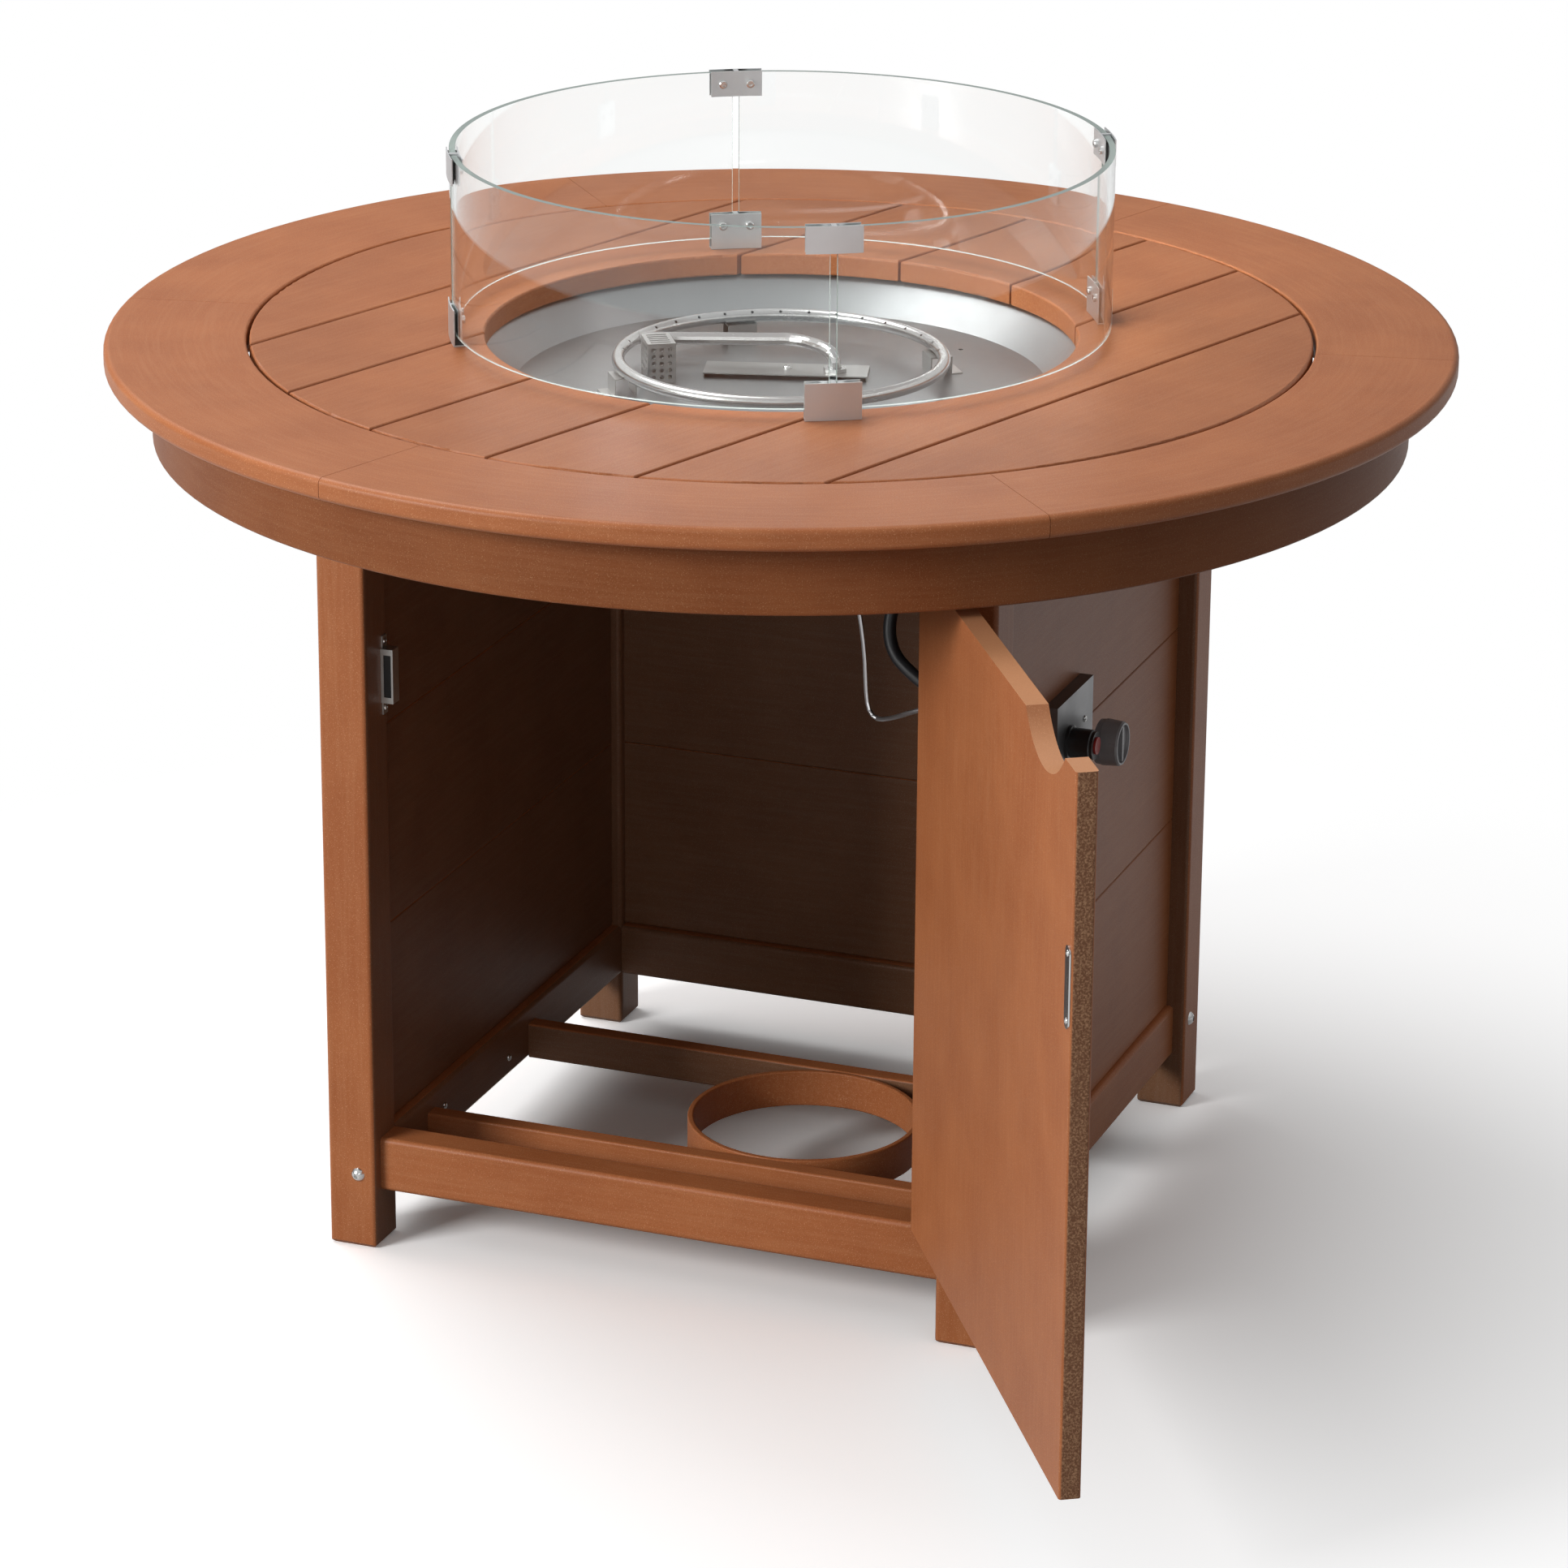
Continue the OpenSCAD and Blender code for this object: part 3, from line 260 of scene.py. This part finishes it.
def lumber(name, turn=(0, 0, 0), tint=1.0, ring=False, cut=None, sheen=0.3, shaded=False):
    """Poly lumber: even orange brown with fine pale and dark specks and faint drawn lines.

    The lines run along local X after turn, or round the table's middle where ring is set. cut is
    an axis of the piece along which its faces are sawn, with coarse specks. Its level faces are
    then painted paler, a painted highlight of the light from above. shaded paints shade onto the
    faces that look towards the table's middle, where the inside lies in shadow.
    """
    m, t, s = material(name)
    plain = coords(t)
    stretch = (LINE_STRETCH, 1, 1)
    along = unrolled(t, stretch) if ring else coords(t, stretch, turn)
    wide = noise(t, plain, CLOUD_SCALE, 3.0, 0.55)
    drawn = noise(t, along, LINE_SCALE, 2.0, 0.6)
    fine = noise(t, plain, GRAIN_SCALE, 2.0, 0.65)
    specks = noise(t, plain, SPECK_SCALE, 0.0)

    def tone(colour):
        return tuple(min(1.0, x * tint) for x in colour)

    base = mix(t, ramp(t, wide, 0.35, 0.65), tone(LUMBER_DEEP), tone(LUMBER))
    base = mix(t, ramp(t, drawn, 0.42, 0.75, 0.0, 0.12), base, tone(LUMBER_PALE))
    base = mix(t, ramp(t, fine, 0.56, 0.72, 0.0, 0.3), base, tone(LUMBER_DARK))
    base = mix(t, ramp(t, specks, 0.66, 0.76, 0.0, 0.5), base, tone(LUMBER_PALE))
    if cut:
        grit = noise(t, plain, GRIT_SCALE, 2.0, 0.7)
        # Painted highlight: faces that look up are mixed towards the pale colour, as the light falls
        # on them from above.
        painted_top_light = ramp(t, facing(t, (0, 0, 1)), 0.5, 0.9, 0.0, 0.6)
        base = mix(t, painted_top_light, base, tone(LUMBER_PALE))
        sawn = mix(t, ramp(t, grit, 0.44, 0.7), tone(CUT), tone(CUT_SPECK))
        base = mix(t, ramp(t, facing(t, cut), 0.86, 0.96), base, sawn)
    # Painted shade: faces that look towards the table's middle get a dark cool tint, as the cabinet's
    # inside lies in shadow.
    if shaded:
        painted_shade = node(t, "ShaderNodeVectorMath", operation="MULTIPLY")
        painted_shade.inputs[1].default_value = PAINTED_SHADE_TINT
        t.links.new(base, painted_shade.inputs[0])
        base = mix(t, ramp(t, outwards(t), -0.02, 0.02, 1.0, 0.0), base, painted_shade.outputs[0])
    t.links.new(base, s.inputs["Base Color"])
    t.links.new(ramp(t, fine, 0.3, 0.7, 0.5, 0.4), s.inputs["Roughness"])
    s.inputs["Specular IOR Level"].default_value = sheen
    bump(t, s, maths(t, "MULTIPLY_ADD", drawn, 0.5, fine), 0.22, 0.0005)
    return m


def metal(name, colour, rough, turn=(0, 0, 0), brush=0.1, spread=0.06, stretch=0.02, strength=0.1,
          ring=False):
    """Bare metal with brushed streaks along local X, or round the middle, and faint marks."""
    m, t, s = material(name)
    along = unrolled(t, (stretch, 1, 1)) if ring else coords(t, (stretch, 1, 1), turn)
    lines = noise(t, along, BRUSH_SCALE, 2.0, 0.6)
    smear = noise(t, coords(t), SMEAR_SCALE, 3.0, 0.6)
    base = ramp(t, smear, 0.3, 0.7, rough - spread, rough + spread)
    t.links.new(maths(t, "MULTIPLY_ADD", lines, brush, base), s.inputs["Roughness"])
    t.links.new(mix(t, ramp(t, smear, 0.35, 0.7), colour, tuple(0.94 * c for c in colour)),
                s.inputs["Base Color"])
    s.inputs["Metallic"].default_value = 1.0
    bump(t, s, lines, strength, 0.0002)
    return m


def plastic(name, colour, rough, grain=0.15, scale=1600.0):
    """Moulded plastic or rubber with a fine moulded grain and slight scuffs."""
    m, t, s = material(name)
    fine = noise(t, coords(t), scale, 2.0, 0.6)
    wide = noise(t, coords(t), SCUFF_SCALE, 3.0, 0.6)
    dark = tuple(0.82 * c for c in colour)
    t.links.new(mix(t, ramp(t, wide, 0.35, 0.7), colour, dark), s.inputs["Base Color"])
    t.links.new(ramp(t, wide, 0.3, 0.7, rough - 0.06, rough + 0.06), s.inputs["Roughness"])
    bump(t, s, fine, grain, 0.0002)
    return m


def glass(name):
    """Clear tempered glass with ground grey-green edges and soft smears."""
    m, t, s = material(name)
    c = node(t, "ShaderNodeTexCoord")
    flat = node(t, "ShaderNodeVectorMath", operation="MULTIPLY")
    flat.inputs[1].default_value = (1, 1, 0)
    t.links.new(c.outputs["Object"], flat.inputs[0])
    outward = node(t, "ShaderNodeVectorMath", operation="NORMALIZE")
    t.links.new(flat.outputs[0], outward.inputs[0])
    dot = node(t, "ShaderNodeVectorMath", operation="DOT_PRODUCT")
    t.links.new(outward.outputs[0], dot.inputs[0])
    t.links.new(c.outputs["Normal"], dot.inputs[1])
    edge = ramp(t, maths(t, "ABSOLUTE", dot.outputs["Value"]), 0.5, 0.8, 1.0, 0.0)
    t.links.new(mix(t, edge, (0.985, 0.995, 0.99), (0.42, 0.5, 0.47)), s.inputs["Base Color"])
    smear = noise(t, coords(t, (1, 1, 0.3)), 22.0, 4.0, 0.7)
    t.links.new(maths(t, "MAXIMUM", ramp(t, smear, 0.6, 0.9, 0.0, 0.03),
                      maths(t, "MULTIPLY", edge, 0.25)), s.inputs["Roughness"])
    s.inputs["IOR"].default_value = 1.45
    t.links.new(maths(t, "MULTIPLY_ADD", edge, -0.7, 1.0), s.inputs["Transmission Weight"])
    clear = node(t, "ShaderNodeBsdfTransparent")
    clear.inputs[0].default_value = (0.94, 0.97, 0.95, 1)
    path = node(t, "ShaderNodeLightPath")
    join = node(t, "ShaderNodeMixShader")
    t.links.new(path.outputs["Is Shadow Ray"], join.inputs[0])
    t.links.new(s.outputs[0], join.inputs[1])
    t.links.new(clear.outputs[0], join.inputs[2])
    out = next(n for n in t.nodes if n.type == "OUTPUT_MATERIAL")
    t.links.new(join.outputs[0], out.inputs[0])
    return m


ALONG_Y = (0, 0, math.pi / 2)
ALONG_Z = (0, -math.pi / 2, 0)
ALONG_PLANKS = (0, 0, math.radians(72))
PLANK_TINTS = (0.92, 0.88, 0.94, 0.9, 0.93, 0.92, 0.89)
DOOR_OPEN = math.radians(122.5)
DOOR_WIDTH = (-math.cos(DOOR_OPEN), -math.sin(DOOR_OPEN), 0)
BLACK = (0.02, 0.02, 0.02)
M = {
    "plank": [lumber(f"lumber_plank_{i}", ALONG_PLANKS, k) for i, k in enumerate(PLANK_TINTS)],
    "ring": lumber("lumber_ring", ring=True),
    # The apron's lumber is darkened by a tint of 0.62: painted shade from the tabletop's overhang and
    # the light from above.
    "apron": lumber("lumber_apron", tint=0.62, ring=True, sheen=0.15),
    "x": lumber("lumber_x", shaded=True),
    "y": lumber("lumber_y", ALONG_Y, shaded=True),
    "z": lumber("lumber_z", ALONG_Z, shaded=True),
    "wall_x": lumber("lumber_wall_x", shaded=True),
    # The side walls' lumber is darkened by a tint of 0.9: painted shade, as they face away from the
    # main lights.
    "wall_y": lumber("lumber_wall_y", ALONG_Y, tint=0.9, shaded=True),
    "door": lumber("lumber_door", ALONG_Z, cut=DOOR_WIDTH),
    "pan": metal("pan_steel", (0.335, 0.345, 0.35), 0.34, spread=0.02, ring=True),
    "plate": metal("plate_steel", (0.5, 0.5, 0.49), 0.3),
    "burner": metal("burner_steel", (0.5, 0.5, 0.495), 0.2, spread=0.02, strength=0.02, ring=True),
    "feed": metal("feed_steel", (0.5, 0.5, 0.495), 0.2, spread=0.02, strength=0.01),
    "clip": metal("clip_steel", (0.66, 0.67, 0.68), 0.42, ALONG_Z, 0.12),
    "box": metal("box_steel", (0.2, 0.2, 0.205), 0.36, ALONG_Y, 0.12),
    "bolt": metal("bolt_steel", (0.68, 0.68, 0.67), 0.18, brush=0.05),
    "hinge": metal("hinge_steel", (0.55, 0.55, 0.54), 0.3, ALONG_Z),
    "brass": metal("brass_metal", (0.66, 0.47, 0.2), 0.3),
    "aluminium": metal("aluminium_metal", (0.7, 0.7, 0.71), 0.32),
    "catch": metal("catch_zinc", (0.62, 0.61, 0.58), 0.38, brush=0.05),
    "magnet": plastic("magnet_strip", BLACK, 0.6),
    "rubber": plastic("pad_rubber", BLACK, 0.6),
    "hose": plastic("hose_rubber", (0.018, 0.018, 0.02), 0.42, 0.3, 900.0),
    "knob": plastic("knob_grey_plastic", srgb(150, 148, 150), 0.32),
    "igniter": plastic("igniter_black_plastic", BLACK, 0.3),
    "button": plastic("button_red_plastic", (0.55, 0.03, 0.02), 0.3),
    "ceramic": plastic("electrode_ceramic", (0.75, 0.74, 0.7), 0.3),
    "glass": glass("guard_glass"),
}


def paint(name, m):
    """Gives a node of the frame one material."""
    o = NODES[name]
    o.data.materials.clear()
    o.data.materials.append(m)


for i, m in enumerate(M["plank"]):
    paint(f"plank_{i + 1}", m)
for key, names in {
    "ring": ("ring_boards", "tank_ring"),
    "apron": ("apron_front", "apron_back"),
    "x": ("rail_front_bottom", "rail_back_bottom", "top_rails", "cross_rail_front",
          "cross_rail_back", "top_battens", "joint_cleats"),
    "y": ("rail_left_bottom", "rail_right_bottom"),
    "wall_x": ("wall_back",),
    "wall_y": ("wall_left", "wall_right"),
    "z": ("post_front_left", "post_front_right", "post_back_left", "post_back_right"),
    "door": ("door_panel",),
    "pan": ("fire_pan",),
    "plate": ("burner_bracket", "burner_feet", "pilot_cage"),
    "burner": ("burner_ring",),
    "feed": ("burner_feed", "feed_locknuts"),
    "clip": ("guard_clips_top", "guard_clips_bottom"),
    "box": ("control_box",),
    "bolt": ("frame_bolts", "pan_screws", "guard_screws", "strike_plate"),
    "hinge": ("hinge_door_leaves", "hinge_post_leaves", "hinge_pins"),
    "brass": ("gas_valve", "valve_plunger"),
    "aluminium": ("pilot_tube",),
    "catch": ("catch_body",),
    "magnet": ("catch_magnets",),
    "rubber": ("guard_pads",),
    "hose": ("gas_hose",),
    "knob": ("valve_knob",),
    "igniter": ("igniter_body",),
    "button": ("igniter_button",),
    "ceramic": ("spark_electrode",),
    "glass": ("glass_front", "glass_right", "glass_back", "glass_left"),
}.items():
    for name in names:
        paint(name, M[key])


# Small pieces that ride on the frame

SHARP = math.radians(35)
ROUND_SIDES = 48


def add_piece(name, bm, m, body):
    """Turns a bmesh into a piece of the model with smooth faces and sharp arrises."""
    mesh = bpy.data.meshes.new(name)
    bmesh.ops.recalc_face_normals(bm, faces=bm.faces)
    bm.to_mesh(mesh)
    bm.free()
    mesh.materials.append(m)
    mesh.shade_smooth()
    mesh.set_sharp_from_angle(angle=SHARP)
    o = bpy.data.objects.new(name, mesh)
    scene.collection.objects.link(o)
    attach(o, body)
    return o


def aim(place, axis):
    """Transform that puts the origin at place and local Z along axis."""
    turn = Vector((0, 0, 1)).rotation_difference(Vector(axis)).to_matrix().to_4x4()
    return Matrix.Translation(Vector(place)) @ turn


def ring_verts(bm, radius_at, z, spin=0.0):
    """Ring of vertices at height z, with its radius from the angle, turned by spin."""
    verts = []
    for i in range(ROUND_SIDES):
        a = math.tau * i / ROUND_SIDES
        r = radius_at(a)
        verts.append(bm.verts.new((r * math.cos(a + spin), r * math.sin(a + spin), z)))
    return verts


def bridge(bm, a, b):
    """Band of faces between two rings of vertices."""
    for i in range(ROUND_SIDES):
        j = (i + 1) % ROUND_SIDES
        bm.faces.new((a[i], a[j], b[j], b[i]))


def turned(profile, place, axis):
    """Closed solid of revolution, from (radius, height) points outside and back inside."""
    bm = bmesh.new()
    rings = [ring_verts(bm, lambda a, r=r: r, z) for r, z in profile]
    for a, b in zip(rings, rings[1:] + rings[:1]):
        bridge(bm, a, b)
    bm.transform(aim(place, axis))
    return bm


def plus_radius(angle, long, half):
    """Distance from the middle to the outline of a cross with arms of that length and half width."""
    tiny = 1e-6
    c, s = max(abs(math.cos(angle)), tiny), max(abs(math.sin(angle)), tiny)
    return max(min(long / c, half / s), min(half / c, long / s))


def tube(name, points, diameter, m, body):
    """Smooth round tube along points, as a curve."""
    data = bpy.data.curves.new(name, "CURVE")
    data.dimensions = "3D"
    data.bevel_depth = diameter / 2
    data.bevel_resolution = 8
    data.resolution_u = 10
    data.use_fill_caps = True
    line = data.splines.new("NURBS")
    line.points.add(len(points) - 1)
    for spot, place in zip(line.points, points):
        spot.co = (*place, 1)
    line.order_u = 3
    line.use_endpoint_u = True
    data.materials.append(m)
    o = bpy.data.objects.new(name, data)
    scene.collection.objects.link(o)
    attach(o, body)
    return o


SCREW_DOME = ((1.0, -0.1), (1.0, 0.2), (0.96, 0.5), (0.84, 0.78), (0.66, 0.95), (0.56, 1.0))
SCREW_RECESS = ((0.5, 0.13, 1.0), (0.36, 0.08, 0.2))
SCREW_SPIN = 0.3


def cross_screw(name, place, axis, radius, body, height=0.5):
    """Screw head with a cross recess, domed to height times its radius, facing along axis.

    SCREW_DOME and SCREW_RECESS are in shares of the head's radius and of its height.
    """
    bm = bmesh.new()
    top = radius * height
    rings = [ring_verts(bm, lambda a, k=k: radius * k, top * z, SCREW_SPIN) for k, z in SCREW_DOME]
    for long, half, z in SCREW_RECESS:
        rings.append(ring_verts(bm, lambda a, long=long, half=half: plus_radius(
            a, long * radius, half * radius), top * z, SCREW_SPIN))
    for a, b in zip(rings, rings[1:]):
        bridge(bm, a, b)
    bm.faces.new(rings[0])
    bm.faces.new(rings[-1])
    bm.transform(aim(place, axis))
    return add_piece(name, bm, M["bolt"], body)


def middle(name):
    """Middle of a node's box."""
    low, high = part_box(name)
    return Vector([(a + b) / 2 for a, b in zip(low, high)])


BODY = "table"
CAB_IN = 0.2942
LOW_AND_HIGH = (("low", -1), ("high", 1))

# Gas hose, with a crimped sleeve at each end given as (radius, height) points

hose = tube("gas_supply_hose", HOSE_POINTS, HOSE_D, M["hose"], BODY)
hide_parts("gas_hose")
SLEEVE = [(0.0074, 0.0), (0.0079, 0.0006), (0.0079, 0.004), (0.0075, 0.0048), (0.0079, 0.0056),
          (0.0079, 0.009), (0.0075, 0.0098), (0.0079, 0.0106), (0.0079, 0.0144), (0.0074, 0.015),
          (0.0064, 0.015), (0.0064, 0.0)]
for end, at, towards in (("elbow", HOSE_POINTS[0], HOSE_POINTS[1]),
                         ("valve", HOSE_POINTS[-1], HOSE_POINTS[-2])):
    sleeve = turned(SLEEVE, at, towards - at)
    add_piece(f"hose_sleeve_{end}", sleeve, M["bolt"], BODY)

# Screws of the control box, the side rails and the catch

BOX_SCREW_OFF = 0.021
BOX_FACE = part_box("control_box")[1][0]
STEM = middle("valve_plunger")
for side, sign in LOW_AND_HIGH:
    at = (BOX_FACE, STEM.y, STEM.z + sign * BOX_SCREW_OFF)
    cross_screw(f"control_box_screw_{side}", at, (1, 0, 0), 0.0032, BODY)

for x_side, x, axis in (("left", -CAB_IN, (1, 0, 0)), ("right", CAB_IN, (-1, 0, 0))):
    for y_side, y, z in (("back", -0.013, 0.079), ("front", -0.176, 0.089)):
        cross_screw(f"rail_screw_{x_side}_{y_side}", (x, y, z), axis, 0.0036, BODY)

CATCH_EAR = 0.0017
CATCH_SCREW_OFF = 0.034
CATCH = middle("catch_body")
for side, sign in LOW_AND_HIGH:
    at = (-CAB_IN + CATCH_EAR, CATCH.y, CATCH.z + sign * CATCH_SCREW_OFF)
    cross_screw(f"catch_screw_{side}", at, (1, 0, 0), 0.0028, BODY)

# Screws of the strike plate, placed on the shut door and turned with it

STRIKE = Vector((-0.2825, -0.3106, 0.592))
STRIKE_SCREW_OFF = 0.0305
HINGE = Vector(next(j for j in frame["joints"] if j["name"] == "door_hinge")["pos_m"])
DOOR_TURN = Matrix.Rotation(DOOR_OPEN, 4, "Z")
for side, sign in LOW_AND_HIGH:
    at = STRIKE + Vector((0, 0, sign * STRIKE_SCREW_OFF))
    cross_screw(f"strike_screw_{side}", HINGE + DOOR_TURN @ (at - HINGE),
                DOOR_TURN @ Vector((0, 1, 0)), 0.003, "door", 0.25)

# Screws through the tank ring's seam, and the screw of the plate over the pan's hole

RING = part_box("tank_ring")
RING_R = (RING[1][0] - RING[0][0]) / 2
RING_T = 0.006
SEAM_ANGLE = math.radians(193)
SEAM = Vector((math.cos(SEAM_ANGLE), math.sin(SEAM_ANGLE), 0))
SEAM_SCREW_DROP = Vector((0, 0, 0.008))
for side, r, axis in (("out", RING_R, SEAM), ("in", RING_R - RING_T, -SEAM)):
    at = middle("tank_ring") + r * SEAM - SEAM_SCREW_DROP
    cross_screw(f"ring_screw_{side}", at, axis, 0.0035, BODY)

PLATE_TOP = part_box("burner_bracket")[1][2]
cross_screw("bracket_screw", (-0.006, 0.034, PLATE_TOP), (0, 0, 1), 0.0048, BODY)


# Stage: pale floor and soft studio light

FLOOR_HALF = 30
SHADOW_NEAR = 0.35
SHADOW_FAR = 1.4
FLOOR_BOUNCE = (0.16, 0.16, 0.16)
FLOOR_SEEN = (1.35, 1.35, 1.35)
FLOOR_IN_GLOSS = 0.5
WORLD_SOFT = (0.02, 0.56)
WORLD_GLOSS = (0.22, 0.8)
GLOSS_TOP = 0.9
WHITE = (1, 1, 1, 1)


def seen_rays(tree, *outputs):
    """1 for the kinds of rays named, 0 for all others."""
    path = node(tree, "ShaderNodeLightPath")
    value = path.outputs[outputs[0]]
    for name in outputs[1:]:
        value = maths(tree, "MAXIMUM", value, path.outputs[name])
    return value


def floor_material():
    """Dark grey to the light that bounces, near white to the eye, plain white far from the object."""
    m = bpy.data.materials.new("floor")
    m.use_nodes = True
    t = m.node_tree
    t.nodes.clear()
    seen = seen_rays(t, "Is Camera Ray", "Is Transmission Ray")
    mirrored = maths(t, "MULTIPLY", seen_rays(t, "Is Glossy Ray"), FLOOR_IN_GLOSS)
    seen = maths(t, "MAXIMUM", seen, mirrored)
    lit = node(t, "ShaderNodeBsdfDiffuse")
    t.links.new(mix(t, seen, FLOOR_BOUNCE, FLOOR_SEEN), lit.inputs[0])
    glow = node(t, "ShaderNodeEmission")
    glow.inputs[0].default_value = WHITE
    flat = node(t, "ShaderNodeVectorMath", operation="LENGTH")
    c = node(t, "ShaderNodeTexCoord")
    t.links.new(c.outputs["Object"], flat.inputs[0])
    far = ramp(t, flat.outputs["Value"], SHADOW_NEAR, SHADOW_FAR)
    join = node(t, "ShaderNodeMixShader")
    t.links.new(maths(t, "MULTIPLY", far, seen), join.inputs[0])
    t.links.new(lit.outputs[0], join.inputs[1])
    t.links.new(glow.outputs[0], join.inputs[2])
    out = node(t, "ShaderNodeOutputMaterial")
    t.links.new(join.outputs[0], out.inputs[0])
    return m


bm = bmesh.new()
bmesh.ops.create_grid(bm, x_segments=1, y_segments=1, size=FLOOR_HALF)
floor_mesh = bpy.data.meshes.new("floor")
bm.to_mesh(floor_mesh)
bm.free()
floor = bpy.data.objects.new("floor", floor_mesh)
floor_mesh.materials.append(floor_material())
scene.collection.objects.link(floor)


def studio_world():
    """Soft light from above, dim at the horizon, and a white background to the eye."""
    world = bpy.data.worlds.new("studio")
    scene.world = world
    world.use_nodes = True
    t = world.node_tree
    t.nodes.clear()
    c = node(t, "ShaderNodeTexCoord")
    sep = node(t, "ShaderNodeSeparateXYZ")
    t.links.new(c.outputs["Generated"], sep.inputs[0])
    soft = ramp(t, sep.outputs[2], 0.0, 1.0, *WORLD_SOFT)
    gloss = ramp(t, sep.outputs[2], 0.0, GLOSS_TOP, *WORLD_GLOSS)
    glossy = seen_rays(t, "Is Glossy Ray")
    seen = seen_rays(t, "Is Camera Ray", "Is Transmission Ray")
    strength = maths(t, "MULTIPLY_ADD", glossy, maths(t, "SUBTRACT", gloss, soft), soft)
    strength = maths(t, "MAXIMUM", strength, seen)
    back = node(t, "ShaderNodeBackground")
    back.inputs[0].default_value = WHITE
    t.links.new(strength, back.inputs[1])
    out = node(t, "ShaderNodeOutputWorld")
    t.links.new(back.outputs[0], out.inputs[0])


studio_world()


def area_light(name, place, target, size, watts):
    """Rectangular lamp at place, aimed at target."""
    data = bpy.data.lights.new(name, "AREA")
    data.shape = "RECTANGLE"
    data.size, data.size_y = size
    data.energy = watts
    o = bpy.data.objects.new(name, data)
    scene.collection.objects.link(o)
    o.location = place
    o.rotation_euler = (Vector(target) - Vector(place)).to_track_quat("-Z", "Y").to_euler()


area_light("front", (-3.31, -4.56, 2.55), (0, 0, 0.5), (2.2, 1.6), 250)
area_light("top", (-2.2, 0.8, 4.4), (0, 0, 0.6), (2.6, 2.6), 105)
area_light("fill", (1.8, -5.2, 1.5), (0.3, -0.4, 0.7), (2.4, 1.4), 17)

scene.view_settings.view_transform = "Standard"
